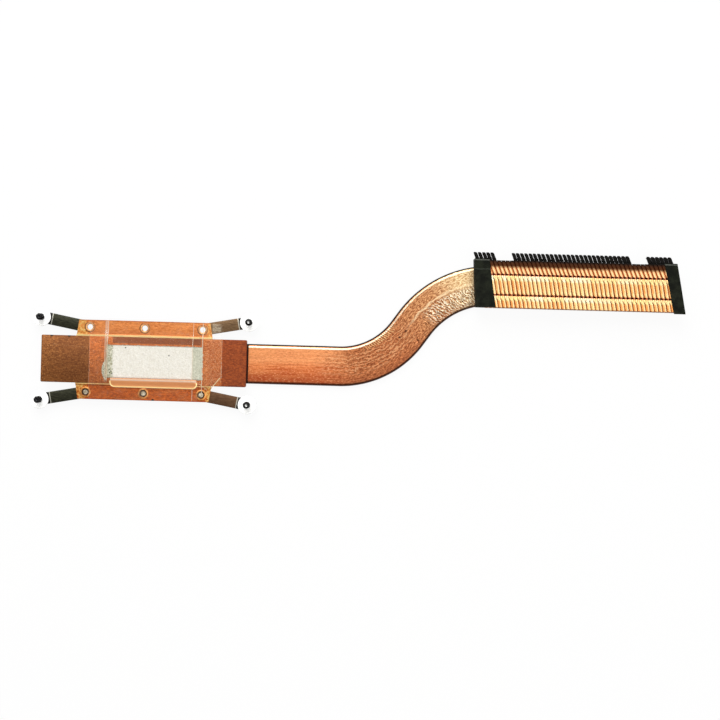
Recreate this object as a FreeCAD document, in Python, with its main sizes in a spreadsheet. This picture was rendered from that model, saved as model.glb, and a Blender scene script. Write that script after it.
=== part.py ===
import FreeCAD, Part
import math
import os
import Sketcher

# Laptop heatsink, contact side up: base plate, rails, leaf springs and captive screws at the
# left, a flattened heat pipe with an S-bend, and a stack of interlocked fins at the right.
# The origin is the centre of the four screws, on the plane of the contact face. X runs along
# the base plate towards the fins, Z points to the processor.

doc = FreeCAD.newDocument("laptop_heatsink")
sheet = doc.addObject("Spreadsheet::Sheet", "sizes")

driving_sizes = {
    # screw pattern and captive screws
    "screw_half_x": 30.95,
    "screw_half_y": 12.3,
    "thread_radius": 1.0,
    "neck_radius": 0.8,
    "thread_top": 2.2,
    "head_radius": 2.4,
    "head_height": 1.0,
    "recess_arm": 1.5,
    "recess_width": 0.55,
    "recess_depth": 0.6,
    "lift_play": 0.45,
    "washer_radius": 2.75,
    "washer_height": 0.6,
    "running_gap": 0.05,
    # base plate
    "plate_length": 61.0,
    "plate_width": 14.0,
    "plate_height": 2.0,
    "plate_corner": 0.4,
    # mounting rails
    "rail_length": 40.4,
    "rail_width": 4.8,
    "rail_sheet": 0.4,
    "rail_drop": 0.7,
    "rail_flange": 0.5,
    "rail_bend": 0.25,
    "rail_bevel": 0.7,
    "rivet_inset": 3.0,
    "rivet_offset": 2.7,
    "rivet_shift": 0.9,
    # leaf springs
    "spring_sheet": 0.4,
    "spring_inset": 0.8,
    "arm_root": 17.0,
    "arm_bend_start": 3.4,
    "arm_width": 3.5,
    "arm_slope": 3.5,
    "arm_tab": 2.6,
    "tab_radius": 2.2,
    "tab_hole": 1.35,
    # rivets
    "rivet_bore": 0.85,
    "rivet_shank": 1.15,
    "rivet_collar": 1.6,
    "rivet_lip": 0.12,
    "rivet_cup": 0.35,
    # heat pipe
    "pipe_width": 11.9,
    "pipe_height": 2.0,
    "pipe_start": -28.0,
    "pipe_bend_start": 58.1,
    "first_radius": 24.4,
    "second_radius": 28.0,
    "bend_angle": 54.8,
    "bend_link": 3.85,
    "pipe_inset": 0.45,
    # fin stack
    "fin_first": 98.6,
    "fin_pitch": 1.245,
    "fin_height": 5.0,
    "fin_sheet": 0.25,
    "fin_gap": 0.06,
    "fin_inlet": 18.65,
    "fin_knee": 28.52,
    "fin_outlet": 33.0,
    "fin_shear": 1.75,
    "fin_outlet_shear": 1.75,
    "tooth_length": 1.9,
    "tooth_lip": 1.05,
    "notch_depth": 0.4,
    "slot_length": 0.5,
    "slot_width": 0.38,
    "inner_slot_row": 22.48,
    # foam strips, measured from the first and the last fin
    "foam_sheet": 0.45,
    "foam_left": 1.4,
    "foam_left_inlet": 0.5,
    "foam_left_flap": 3.0,
    "foam_left_flap_inlet": 5.2,
    "foam_right_flap": 4.4,
    "foam_right_flap_inlet": 1.3,
    "foam_right_outlet": 1.15,
    "foam_overhang": 0.5,
    # thermal paste
    "paste_left": -11.3,
    "paste_right": 17.65,
    "paste_low": -5.4,
    "paste_high": 4.65,
    "paste_height": 0.15,
    # clear cover
    "film": 0.12,
    "film_left": -16.2,
    "film_right": 23.25,
    "film_cut": 2.6,
    "pocket_left": -12.5,
    "pocket_right": 18.3,
    "pocket_low": -7.0,
    "pocket_high": 7.0,
    "pocket_height": 1.0,
}

for row, (name, value) in enumerate(driving_sizes.items(), start=1):
    sheet.set("A%d" % row, name)
    sheet.set("B%d" % row, str(value))
    sheet.setAlias("B%d" % row, name)
doc.recompute()

# Fins with teeth at the outlet and fins without, from the base plate outwards.
fin_groups = (
    ("fins_left", 4), ("fins_notch_left", 3), ("fins_middle", 28), ("fins_notch_right", 4),
    ("fins_right", 6))
last_fin = 1 + sum(count for label, count in fin_groups)
sub_parts = []


def size(name):
    """One driving size, in millimetres or degrees."""
    return float(sheet.get(name))


def cell(name, factor=1.0):
    """The expression that reads a driving size, scaled or mirrored by a factor."""
    return "sizes.%s * %g" % (name, factor)


def origin_plane(body, role):
    return next(plane for plane in body.Origin.OriginFeatures if plane.Role == role)


def new_body(label):
    body = doc.addObject("PartDesign::Body", label)
    body.Label = label
    sub_parts.append(body)
    return body


def new_sketch(body, name, role, offset=None):
    """An empty sketch on one of the body's origin planes, moved by the offset placement."""
    sketch = body.newObject("Sketcher::SketchObject", name)
    sketch.AttachmentSupport = [(origin_plane(body, role), "")]
    sketch.MapMode = "FlatFace"
    if offset is not None:
        sketch.AttachmentOffset = offset
    return sketch


def height_offset(z):
    return FreeCAD.Placement(FreeCAD.Vector(0, 0, z), FreeCAD.Rotation())


def drive(sketch, constraint, expression):
    """Adds a constraint to the sketch and binds it to an expression of the sheet."""
    index = sketch.addConstraint(constraint)
    sketch.setExpression("Constraints[%d]" % index, expression)


def add_polygon(sketch, corners):
    """A closed polygon with joined ends; gives the index of its first side."""
    first = sketch.GeometryCount
    count = len(corners)
    for i in range(count):
        start = FreeCAD.Vector(*corners[i], 0)
        end = FreeCAD.Vector(*corners[(i + 1) % count], 0)
        sketch.addGeometry(Part.LineSegment(start, end), False)
    for i in range(count):
        sketch.addConstraint(Sketcher.Constraint("Coincident", first + i, 2, first + (i + 1) % count, 1))
    return first


def place_corner(sketch, line, x_expression, y_expression, x_value, y_value):
    """Ties the start of a line to a point given by two expressions."""
    place_along(sketch, line, "DistanceX", x_expression, x_value)
    place_along(sketch, line, "DistanceY", y_expression, y_value)


def place_along(sketch, line, kind, expression, value):
    drive(sketch, Sketcher.Constraint(kind, -1, 1, line, 1, value), expression)


def driven_polygon(sketch, corners):
    """A polygon whose corners are (value, expression) pairs for both coordinates."""
    values = [(x[0], y[0]) for x, y in corners]
    first = add_polygon(sketch, values)
    for i, (x, y) in enumerate(corners):
        place_corner(sketch, first + i, x[1], y[1], x[0], y[0])


def named(name, factor=1.0):
    """A coordinate that is one driving size times a factor."""
    return (size(name) * factor, cell(name, factor))


def fixed(value):
    """A coordinate that is worked out from other heights."""
    return (value, "%.6f" % value)


def summed(*terms):
    """A coordinate that is a sum of driving sizes, each as (name, factor)."""
    value = sum(size(name) * factor for name, factor in terms)
    return (value, " + ".join("(%s)" % cell(name, factor) for name, factor in terms))


def rivet_x(place, side):
    """Where a rivet sits along the rail: at its middle, or inset from an end, upper left a bit more."""
    shift = 1 if (place, side) == (-1, 1) else 0
    return summed(("rail_length", place * 0.5), ("rivet_inset", -place), ("rivet_shift", shift))


def rectangle(sketch, low_x, high_x, low_y, high_y):
    driven_polygon(sketch, [(low_x, low_y), (high_x, low_y), (high_x, high_y), (low_x, high_y)])


def circle(sketch, x, y, radius):
    index = sketch.addGeometry(
        Part.Circle(FreeCAD.Vector(x[0], y[0], 0), FreeCAD.Vector(0, 0, 1), radius[0]), False)
    drive(sketch, Sketcher.Constraint("Radius", index, radius[0]), radius[1])
    drive(sketch, Sketcher.Constraint("DistanceX", -1, 1, index, 3, x[0]), x[1])
    drive(sketch, Sketcher.Constraint("DistanceY", -1, 1, index, 3, y[0]), y[1])


def pad(body, sketch, length, reverse=False, middle=False):
    feature = body.newObject("PartDesign::Pad", sketch.Name + "_pad")
    feature.Profile = sketch
    feature.Length = length[0]
    feature.setExpression("Length", length[1])
    feature.Reversed = reverse
    feature.Midplane = middle
    sketch.Visibility = False
    doc.recompute()
    return feature


def cut_through(body, sketch):
    """Cuts the sketch through the whole body, and makes sure that something was removed."""
    before = body.Shape.Volume
    feature = body.newObject("PartDesign::Pocket", sketch.Name + "_cut")
    feature.Profile = sketch
    feature.Type = 1
    feature.Midplane = True
    doc.recompute()
    assert body.Shape.Volume < before, sketch.Name
    return feature


def cut_depth(body, sketch, depth, reverse=False):
    before = body.Shape.Volume
    feature = body.newObject("PartDesign::Pocket", sketch.Name + "_cut")
    feature.Profile = sketch
    feature.Length = depth[0]
    feature.setExpression("Length", depth[1])
    feature.Reversed = reverse
    doc.recompute()
    assert body.Shape.Volume < before, sketch.Name
    return feature


def edges_where(shape, test):
    """Names of the straight edges whose end points pass the test."""
    names = []
    for i, edge in enumerate(shape.Edges, start=1):
        if len(edge.Vertexes) == 2 and test(edge.Vertexes[0].Point, edge.Vertexes[1].Point):
            names.append("Edge%d" % i)
    return names


def upright(a, b):
    return abs(a.x - b.x) < 1e-6 and abs(a.y - b.y) < 1e-6


def dress(body, kind, base, edges, property_name, amount):
    """A fillet or chamfer of the named edges."""
    feature = body.newObject("PartDesign::" + kind, "%s_%s" % (base.Name, kind.lower()))
    feature.Base = (base, edges)
    setattr(feature, property_name, amount[0])
    feature.setExpression(property_name, amount[1])
    doc.recompute()
    return feature


# Heights, measured from the contact face.
plate_bottom = -size("plate_height")
rail_top = -size("rail_drop")
spring_top = rail_top - size("rail_sheet")
arm_direction = math.degrees(math.atan2(
    size("screw_half_y") - size("plate_width") / 2 - size("rivet_offset"),
    size("screw_half_x") - size("arm_root")))
arm_length = math.hypot(
    size("screw_half_y") - size("plate_width") / 2 - size("rivet_offset"),
    size("screw_half_x") - size("arm_root"))
slope_run = arm_length - size("arm_bend_start") - size("arm_tab")
tab_top = spring_top - slope_run * math.tan(math.radians(size("arm_slope")))


def make_base_plate():
    body = new_body("base_plate")
    outline = new_sketch(body, "plate_outline", "XY_Plane")
    rectangle(outline, named("plate_length", -0.5), named("plate_length", 0.5),
              named("plate_width", -0.5), named("plate_width", 0.5))
    block = pad(body, outline, named("plate_height"), reverse=True)
    dress(body, "Fillet", block, edges_where(block.Shape, upright), "Radius", named("plate_corner"))


def make_rail(label, side):
    """An L-shaped strip with bevelled ends: its flange stands against the side of the base plate."""
    body = new_body(label)
    section = new_sketch(body, label + "_section", "YZ_Plane")
    inner = summed(("plate_width", side * 0.5))
    flange = summed(("plate_width", side * 0.5), ("rail_sheet", side))
    outer = summed(("plate_width", side * 0.5), ("rail_width", side))
    low = summed(("rail_drop", -1), ("rail_sheet", -1))
    top = named("rail_drop", -1)
    flange_top = summed(("rail_drop", -1), ("rail_flange", 1))
    driven_polygon(section, [(inner, low), (outer, low), (outer, top), (flange, top),
                             (flange, flange_top), (inner, flange_top)])
    strip = pad(body, section, named("rail_length"), middle=True)
    flange_y = side * (size("plate_width") / 2 + size("rail_sheet"))
    fold = edges_where(strip.Shape, lambda a, b: abs(a.y - flange_y) < 1e-6 and abs(b.y - flange_y) < 1e-6
                       and abs(a.z + size("rail_drop")) < 1e-6 and abs(b.z + size("rail_drop")) < 1e-6)
    dress(body, "Fillet", strip, fold, "Radius", named("rail_bend"))
    inner_edge = summed(("plate_width", side * 0.5), ("rail_sheet", side))
    outer_edge = summed(("plate_width", side * 0.5), ("rail_width", side))
    for end in (-1, 1):
        bevel = new_sketch(body, "%s_bevel_%s" % (label, "left" if end < 0 else "right"), "XY_Plane")
        tip = named("rail_length", end * 0.5)
        driven_polygon(bevel, [
            (tip, inner_edge), (tip, outer_edge),
            (summed(("rail_length", end * 0.5), ("rail_bevel", -end)), outer_edge)])
        cut_through(body, bevel)
    holes = new_sketch(body, label + "_holes", "XY_Plane")
    for place in (-1, 0, 1):
        circle(holes, rivet_x(place, side),
               summed(("plate_width", side * 0.5), ("rivet_offset", side)), named("rivet_shank"))
    cut_through(body, holes)


def arm_offset(end, side):
    """The upright plane along one arm, with its origin at the arm's root on the spring's top."""
    root = FreeCAD.Vector(end * size("arm_root"),
                          side * (size("plate_width") / 2 + size("rivet_offset")), spring_top)
    turn = end * side * arm_direction
    placement = FreeCAD.Placement(root, FreeCAD.Rotation(FreeCAD.Vector(0, 0, 1), turn))
    to_xz = FreeCAD.Placement(FreeCAD.Vector(), FreeCAD.Rotation(FreeCAD.Vector(1, 0, 0), 90))
    return to_xz.inverse().multiply(placement).multiply(to_xz)


def make_leaf_spring(label, side):
    """A strip under the rail with two splayed arms, each sloping down to a level tab."""
    body = new_body(label)
    strip = new_sketch(body, label + "_strip", "XY_Plane", height_offset(spring_top))
    rectangle(strip, summed(("rail_length", -0.5), ("spring_inset", 1)),
              summed(("rail_length", 0.5), ("spring_inset", -1)),
              summed(("plate_width", side * 0.5), ("spring_inset", side)),
              summed(("plate_width", side * 0.5), ("rail_width", side)))
    pad(body, strip, named("spring_sheet"), reverse=True)
    drop = spring_top - tab_top
    thick = size("spring_sheet")
    run = [(0.0, 0.0), (size("arm_bend_start"), 0.0), (size("arm_bend_start") + slope_run, -drop),
           (arm_length, -drop)]
    for end, name in ((-1, "left"), (1, "right")):
        profile = new_sketch(body, "%s_arm_%s" % (label, name), "XZ_Plane", arm_offset(end, side))
        upper = [(end * x, z) for x, z in run]
        lower = [(x, z - thick) for x, z in reversed(upper)]
        first = add_polygon(profile, upper + lower)
        profile.addConstraint(Sketcher.Constraint("Block", first))
        pad(body, profile, named("arm_width"), middle=True)
        tab = new_sketch(body, "%s_tab_%s" % (label, name), "XY_Plane", height_offset(tab_top))
        circle(tab, named("screw_half_x", end), named("screw_half_y", side), named("tab_radius"))
        pad(body, tab, named("spring_sheet"), reverse=True)
    holes = new_sketch(body, label + "_holes", "XY_Plane")
    for place in (-1, 0, 1):
        circle(holes, rivet_x(place, side),
               summed(("plate_width", side * 0.5), ("rivet_offset", side)), named("rivet_shank"))
    for end in (-1, 1):
        circle(holes, named("screw_half_x", end), named("screw_half_y", side), named("tab_hole"))
    cut_through(body, holes)


def revolve(body, sketch):
    feature = body.newObject("PartDesign::Revolution", sketch.Name + "_turned")
    feature.Profile = sketch
    feature.ReferenceAxis = (sketch, ["V_Axis"])
    feature.Angle = 360
    doc.recompute()
    return feature


def make_rivet(label, place, side):
    """A rivet with its collar on the rail: a tube in the upper rail, a closed cup in the lower one."""
    body = new_body(label)
    section = new_sketch(body, label + "_section", "XZ_Plane")
    top = summed(("rivet_lip", 1))
    seat = (0.0, "0")
    bottom = summed(("rail_sheet", -1), ("spring_sheet", -1), ("rivet_lip", -1))
    outer = [(named("rivet_shank"), bottom), (named("rivet_shank"), seat), (named("rivet_collar"), seat),
             (named("rivet_collar"), top), (named("rivet_bore"), top)]
    if side > 0:
        inner = [(named("rivet_bore"), bottom)]
    else:
        cup = named("rivet_cup", -1)
        inner = [(named("rivet_bore"), cup), ((0.0, "0"), cup), ((0.0, "0"), bottom)]
    driven_polygon(section, outer + inner)
    revolve(body, section)
    body.Placement.Base = FreeCAD.Vector(
        rivet_x(place, side)[0], side * (size("plate_width") / 2 + size("rivet_offset")), rail_top)


def make_screw(label, end, side):
    """A captive screw: low head, thin neck through tab and washer, thread above the washer."""
    body = new_body(label)
    section = new_sketch(body, label + "_section", "XZ_Plane")
    axis = (0.0, "0")
    head_top = tab_top - size("spring_sheet") - size("lift_play")
    head_low = head_top - size("head_height")
    thread_low = tab_top + size("washer_height") + size("running_gap")
    driven_polygon(section, [
        (axis, fixed(head_low)), (named("head_radius"), fixed(head_low)),
        (named("head_radius"), fixed(head_top)), (named("neck_radius"), fixed(head_top)),
        (named("neck_radius"), fixed(thread_low)), (named("thread_radius"), fixed(thread_low)),
        (named("thread_radius"), named("thread_top")), (axis, named("thread_top"))])
    revolve(body, section)
    recess = new_sketch(body, label + "_recess", "XY_Plane", height_offset(head_low))
    arm = size("recess_arm")
    half = size("recess_width") / 2
    cross = [(arm, half), (half, half), (half, arm), (-half, arm), (-half, half), (-arm, half),
             (-arm, -half), (-half, -half), (-half, -arm), (half, -arm), (half, -half), (arm, -half)]
    first = add_polygon(recess, cross)
    recess.addConstraint(Sketcher.Constraint("Block", first))
    cut_depth(body, recess, named("recess_depth"), reverse=True)
    body.Placement.Base = FreeCAD.Vector(end * size("screw_half_x"), side * size("screw_half_y"), 0)


def make_washer(label, end, side):
    """A nylon washer snapped over the thread, which keeps the screw on its tab."""
    body = new_body(label)
    outline = new_sketch(body, label + "_outline", "XY_Plane")
    centre = (0.0, "0")
    circle(outline, centre, centre, named("washer_radius"))
    circle(outline, centre, centre, summed(("neck_radius", 1), ("running_gap", 1)))
    pad(body, outline, named("washer_height"))
    body.Placement.Base = FreeCAD.Vector(
        end * size("screw_half_x"), side * size("screw_half_y"), tab_top)


def make_heat_pipe():
    """A flattened tube swept along straight runs and two opposite bends."""
    body = new_body("heat_pipe")
    middle = plate_bottom - size("pipe_height") / 2
    path = new_sketch(body, "pipe_path", "XY_Plane", height_offset(middle))
    turn = math.radians(size("bend_angle"))
    radius_one = size("first_radius")
    radius_two = size("second_radius")
    link = size("bend_link")
    start = FreeCAD.Vector(size("pipe_start"), 0, 0)
    bend_in = FreeCAD.Vector(size("pipe_bend_start"), 0, 0)
    centre_one = bend_in + FreeCAD.Vector(0, radius_one, 0)
    bend_out = centre_one + FreeCAD.Vector(radius_one * math.sin(turn), -radius_one * math.cos(turn), 0)
    second_in = bend_out + FreeCAD.Vector(link * math.cos(turn), link * math.sin(turn), 0)
    centre_two = second_in + FreeCAD.Vector(radius_two * math.sin(turn), -radius_two * math.cos(turn), 0)
    second_out = centre_two + FreeCAD.Vector(0, radius_two, 0)
    end = FreeCAD.Vector(fin_place(last_fin) - size("pipe_inset"), second_out.y, 0)
    normal = FreeCAD.Vector(0, 0, 1)
    quarter = math.pi / 2
    path.addGeometry(Part.LineSegment(start, bend_in), False)
    path.addGeometry(
        Part.ArcOfCircle(Part.Circle(centre_one, normal, radius_one), -quarter, turn - quarter), False)
    path.addGeometry(Part.LineSegment(bend_out, second_in), False)
    path.addGeometry(
        Part.ArcOfCircle(Part.Circle(centre_two, normal, radius_two), quarter, quarter + turn), False)
    path.addGeometry(Part.LineSegment(second_out, end), False)
    path.addConstraint(Sketcher.Constraint("Tangent", 0, 2, 1, 1))
    path.addConstraint(Sketcher.Constraint("Tangent", 1, 2, 2, 1))
    path.addConstraint(Sketcher.Constraint("Tangent", 2, 2, 3, 2))
    path.addConstraint(Sketcher.Constraint("Tangent", 3, 1, 4, 1))
    path.addConstraint(Sketcher.Constraint("Horizontal", 0))
    path.addConstraint(Sketcher.Constraint("Horizontal", 4))
    path.addConstraint(Sketcher.Constraint("PointOnObject", 0, 1, -1))
    place_along(path, 0, "DistanceX", cell("pipe_start"), start.x)
    drive(path, Sketcher.Constraint("DistanceX", -1, 1, 0, 2, bend_in.x), cell("pipe_bend_start"))
    drive(path, Sketcher.Constraint("Radius", 1, radius_one), cell("first_radius"))
    drive(path, Sketcher.Constraint("Radius", 3, radius_two), cell("second_radius"))
    drive(path, Sketcher.Constraint("Angle", 2, turn), "sizes.bend_angle * 1 deg")
    drive(path, Sketcher.Constraint("Distance", 2, link), cell("bend_link"))
    drive(path, Sketcher.Constraint("DistanceX", -1, 1, 4, 2, end.x), "%.6f" % end.x)
    section = new_sketch(body, "pipe_section", "YZ_Plane", FreeCAD.Placement(
        FreeCAD.Vector(0, middle, size("pipe_start")), FreeCAD.Rotation()))
    half_flat = (size("pipe_width") - size("pipe_height")) / 2
    side = size("pipe_height") / 2
    for turned in (1, -1):
        flat_start = FreeCAD.Vector(-turned * half_flat, -turned * side, 0)
        flat_end = FreeCAD.Vector(turned * half_flat, -turned * side, 0)
        round_side = Part.Circle(FreeCAD.Vector(turned * half_flat, 0, 0), normal, side)
        section.addGeometry(Part.LineSegment(flat_start, flat_end), False)
        section.addGeometry(Part.ArcOfCircle(round_side, -turned * quarter, (2 - turned) * quarter), False)
    for i in range(4):
        section.addConstraint(Sketcher.Constraint("Tangent", i, 2, (i + 1) % 4, 1))
    section.addConstraint(Sketcher.Constraint("Horizontal", 0))
    section.addConstraint(Sketcher.Constraint("Symmetric", 1, 3, 3, 3, -1, 1))
    drive(section, Sketcher.Constraint("Radius", 1, side), cell("pipe_height", 0.5))
    drive(section, Sketcher.Constraint("DistanceX", 3, 3, 1, 3, 2 * half_flat),
          "sizes.pipe_width - sizes.pipe_height")
    tube = body.newObject("PartDesign::AdditivePipe", "pipe_tube")
    tube.Profile = section
    tube.Spine = path
    doc.recompute()


def fin_section(body, name, y, lower_lip, upper_lip):
    """A fin's section across the air's way: blade at the right, its lips reaching to the left."""
    sketch = new_sketch(body, name, "XZ_Plane", height_offset(-y))
    low = plate_bottom
    high = plate_bottom + size("fin_height")
    sheet_width = size("fin_sheet")
    corners = [(0, low), (0, high), (-upper_lip, high), (-upper_lip, high - sheet_width),
               (-sheet_width, high - sheet_width)]
    if lower_lip > sheet_width:
        corners += [(-sheet_width, low + sheet_width), (-lower_lip, low + sheet_width), (-lower_lip, low)]
    else:
        corners += [(-sheet_width, low)]
    first = add_polygon(sketch, corners)
    sketch.addConstraint(Sketcher.Constraint("Block", first))
    return sketch


def slanted_pad(body, sketch, along, sideways):
    """Extends a section along the air's way while it leans sideways."""
    feature = body.newObject("PartDesign::Pad", sketch.Name + "_run")
    feature.Profile = sketch
    feature.UseCustomVector = True
    feature.Direction = FreeCAD.Vector(sideways, along, 0)
    feature.AlongSketchNormal = True
    feature.Length = abs(along)
    sketch.Visibility = False
    doc.recompute()
    return feature


def make_fin(label, index, tooth_length, setback):
    """One zipper fin: a blade with folded lips, bent at the knee, its near lip notched twice."""
    body = new_body(label)
    outlet = size("fin_outlet") - setback
    lean = size("fin_outlet_shear") / (size("fin_outlet") - size("fin_knee"))
    reach = size("fin_pitch") - size("fin_gap")
    knee = fin_section(body, label + "_knee", size("fin_knee"), reach, reach)
    slanted_pad(body, knee, size("fin_inlet") - size("fin_knee"), size("fin_shear"))
    bent = fin_section(body, label + "_bend", size("fin_knee"), reach, reach)
    slanted_pad(body, bent, outlet - size("fin_knee"), -lean * (outlet - size("fin_knee")))
    if tooth_length > 0:
        tooth = fin_section(body, label + "_tooth", size("fin_knee"), size("fin_sheet"), size("tooth_lip"))
        run = size("fin_outlet") + tooth_length - size("fin_knee")
        slanted_pad(body, tooth, run, -lean * run)
    slots = new_sketch(body, label + "_slots", "XY_Plane", height_offset(plate_bottom + size("fin_height")))
    slope = size("fin_shear") / (size("fin_knee") - size("fin_inlet"))
    half = size("slot_width") / 2
    for row in (size("fin_knee") - half, size("inner_slot_row")):
        left = slope * (size("fin_knee") - row) - size("fin_pitch")
        right = left + size("fin_gap") + size("slot_length")
        corners = [(left, row - half), (right, row - half), (right, row + half), (left, row + half)]
        slots.addConstraint(Sketcher.Constraint("Block", add_polygon(slots, corners)))
    cut_depth(body, slots, named("fin_sheet"))
    body.Placement.Base = FreeCAD.Vector(fin_place(index), 0, 0)
    return body


def fin_place(index):
    """Where the knee of a fin lies along the stack."""
    return size("fin_first") + size("fin_outlet_shear") + index * size("fin_pitch")


def make_fin_group(label, master, first_index, count):
    """Copies of a fin at the stack's pitch, each a solid of its own."""
    feature = doc.addObject("Part::Feature", label)
    feature.Label = label
    copies = []
    for i in range(count):
        copy = master.Shape.copy()
        shift = fin_place(first_index + i) - master.Placement.Base.x
        copy.translate(FreeCAD.Vector(shift, 0, 0))
        copies.append(copy)
    feature.Shape = Part.makeCompound(copies)
    sub_parts.append(feature)


def prism(corners, low, high):
    """An upright prism over a plan outline."""
    points = [FreeCAD.Vector(x, y, low) for x, y in corners]
    face = Part.Face(Part.makePolygon(points + points[:1]))
    return face.extrude(FreeCAD.Vector(0, 0, high - low))


def fin_edge(index, y):
    """X of the outer face of a blade at some distance along the air's way."""
    knee = size("fin_knee")
    if y > knee:
        lean = -size("fin_outlet_shear") / (size("fin_outlet") - knee)
        return fin_place(index) + lean * (y - knee)
    slope = size("fin_shear") / (knee - size("fin_inlet"))
    return fin_place(index) + slope * (knee - y)


def make_foam_strips():
    """Foam round both ends of the stack: a wall against the end fin and a flap over its face."""
    low = plate_bottom
    top = plate_bottom + size("fin_height")
    cover = top + size("foam_sheet")
    inlet = size("fin_inlet")
    knee = size("fin_knee")
    outlet = size("fin_outlet")
    skirt = inlet - size("foam_overhang")
    reach = size("fin_pitch") - size("fin_gap")
    left_end = size("fin_first")
    right_end = fin_place(last_fin)
    left_wall = [(left_end - size("foam_left"), outlet), (fin_edge(0, outlet) - reach, outlet),
                 (fin_edge(0, knee) - reach, knee), (fin_edge(0, inlet) - reach, inlet),
                 (left_end - size("foam_left_inlet"), inlet)]
    left_cover = [(left_end - size("foam_left"), outlet), (left_end + size("foam_left_flap"), outlet),
                  (left_end + size("foam_left_flap_inlet"), inlet),
                  (left_end - size("foam_left_inlet"), inlet)]
    wall = size("foam_sheet")
    right_outlet = fin_edge(last_fin, outlet) + size("foam_right_outlet")
    right_wall = [(fin_edge(last_fin, outlet), outlet), (right_outlet, outlet),
                  (fin_edge(last_fin, inlet) + wall, inlet), (fin_edge(last_fin, inlet), inlet),
                  (fin_edge(last_fin, knee), knee)]
    right_cover = [(right_end - size("foam_right_flap"), outlet), (right_outlet, outlet),
                   (fin_edge(last_fin, inlet) + wall, inlet), (fin_edge(last_fin, inlet) + wall, skirt),
                   (right_end - size("foam_right_flap_inlet"), skirt),
                   (right_end - size("foam_right_flap_inlet"), inlet)]
    for label, block, flap in (
            ("foam_left", left_wall, left_cover), ("foam_right", right_wall, right_cover)):
        feature = doc.addObject("Part::Feature", label)
        feature.Label = label
        feature.Shape = prism(block, low, top).fuse(prism(flap, top, cover)).removeSplitter()
        sub_parts.append(feature)


def make_paste():
    body = new_body("thermal_paste")
    outline = new_sketch(body, "paste_outline", "XY_Plane")
    rectangle(outline, named("paste_left"), named("paste_right"), named("paste_low"), named("paste_high"))
    pad(body, outline, named("paste_height"))


def make_cover():
    """A thin clear film stuck on the base plate, with a raised pocket over the paste."""
    body = new_body("clear_cover")
    flange = new_sketch(body, "cover_flange", "XY_Plane")
    low = named("plate_width", -0.5)
    high = named("plate_width", 0.5)
    left = named("film_left")
    right = named("film_right")
    cut_x = summed(("film_right", 1), ("film_cut", -1))
    cut_y = summed(("plate_width", -0.5), ("film_cut", 1))
    driven_polygon(flange, [(left, low), (cut_x, low), (right, cut_y), (right, high), (left, high)])
    pad(body, flange, named("film"))
    outer = new_sketch(body, "cover_pocket", "XY_Plane")
    rectangle(outer, named("pocket_left"), named("pocket_right"), named("pocket_low"), named("pocket_high"))
    pad(body, outer, named("pocket_height"))
    inner = new_sketch(body, "cover_hollow", "XY_Plane")
    rectangle(inner, summed(("pocket_left", 1), ("film", 1)), summed(("pocket_right", 1), ("film", -1)),
              summed(("pocket_low", 1), ("film", 1)), summed(("pocket_high", 1), ("film", -1)))
    cut_depth(body, inner, summed(("pocket_height", 1), ("film", -1)), reverse=True)


ends = ((-1, "left"), (1, "right"))
sides = ((1, "upper"), (-1, "lower"))
make_base_plate()
for side, side_name in sides:
    make_rail("rail_" + side_name, side)
    make_leaf_spring("leaf_spring_" + side_name, side)
    for place, place_name in ((-1, "left"), (0, "middle"), (1, "right")):
        make_rivet("rivet_%s_%s" % (side_name, place_name), place, side)
    for end, end_name in ends:
        make_screw("screw_%s_%s" % (side_name, end_name), end, side)
        make_washer("washer_%s_%s" % (side_name, end_name), end, side)
make_heat_pipe()
toothed = make_fin("fin_first", 0, size("tooth_length"), 0)
notched = make_fin("fin_notched", 1 + fin_groups[0][1], 0, size("notch_depth"))
index = 1
for label, count in fin_groups:
    if label == "fins_notch_left":
        index += 1
    master = notched if "notch" in label else toothed
    make_fin_group(label, master, index, count)
    index += count
make_foam_strips()
make_paste()
make_cover()
doc.recompute()

for item in doc.Objects:
    assert "Invalid" not in item.State and "Error" not in item.State, (item.Label, item.State)
for item in sub_parts:
    assert not item.Shape.isNull() and item.Shape.isValid(), item.Label

os.makedirs("parts", exist_ok=True)
for item in sub_parts:
    item.Shape.exportStep("parts/%s.step" % item.Label)
    print("%-22s %3d solids %10.3f mm3" % (item.Label, len(item.Shape.Solids), item.Shape.Volume))
print("pieces:", sum(len(item.Shape.Solids) for item in sub_parts))
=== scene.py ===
import math
import random
import bmesh
import bpy
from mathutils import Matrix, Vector, noise


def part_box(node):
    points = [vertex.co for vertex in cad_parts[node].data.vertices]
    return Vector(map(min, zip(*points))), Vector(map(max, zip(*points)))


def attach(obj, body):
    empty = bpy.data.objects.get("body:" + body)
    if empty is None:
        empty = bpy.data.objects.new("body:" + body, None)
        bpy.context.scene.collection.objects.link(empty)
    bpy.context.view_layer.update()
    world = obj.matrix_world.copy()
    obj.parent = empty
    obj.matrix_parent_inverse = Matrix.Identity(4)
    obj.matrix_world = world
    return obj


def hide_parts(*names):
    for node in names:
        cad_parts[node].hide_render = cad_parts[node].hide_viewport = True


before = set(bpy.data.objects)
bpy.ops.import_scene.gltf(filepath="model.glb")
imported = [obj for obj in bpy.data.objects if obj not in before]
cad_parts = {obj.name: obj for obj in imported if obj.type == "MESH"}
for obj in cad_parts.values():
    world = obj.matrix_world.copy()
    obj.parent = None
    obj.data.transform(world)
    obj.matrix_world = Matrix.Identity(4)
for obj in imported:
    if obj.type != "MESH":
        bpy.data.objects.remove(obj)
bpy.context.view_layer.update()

# Laptop heatsink, contact side up. The dictionaries are in millimetres and in the CAD frame:
# X along the base plate to the fins, Z up to the camera, zero on the plate's contact face.
mm = 0.001
body = "heatsink"


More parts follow.
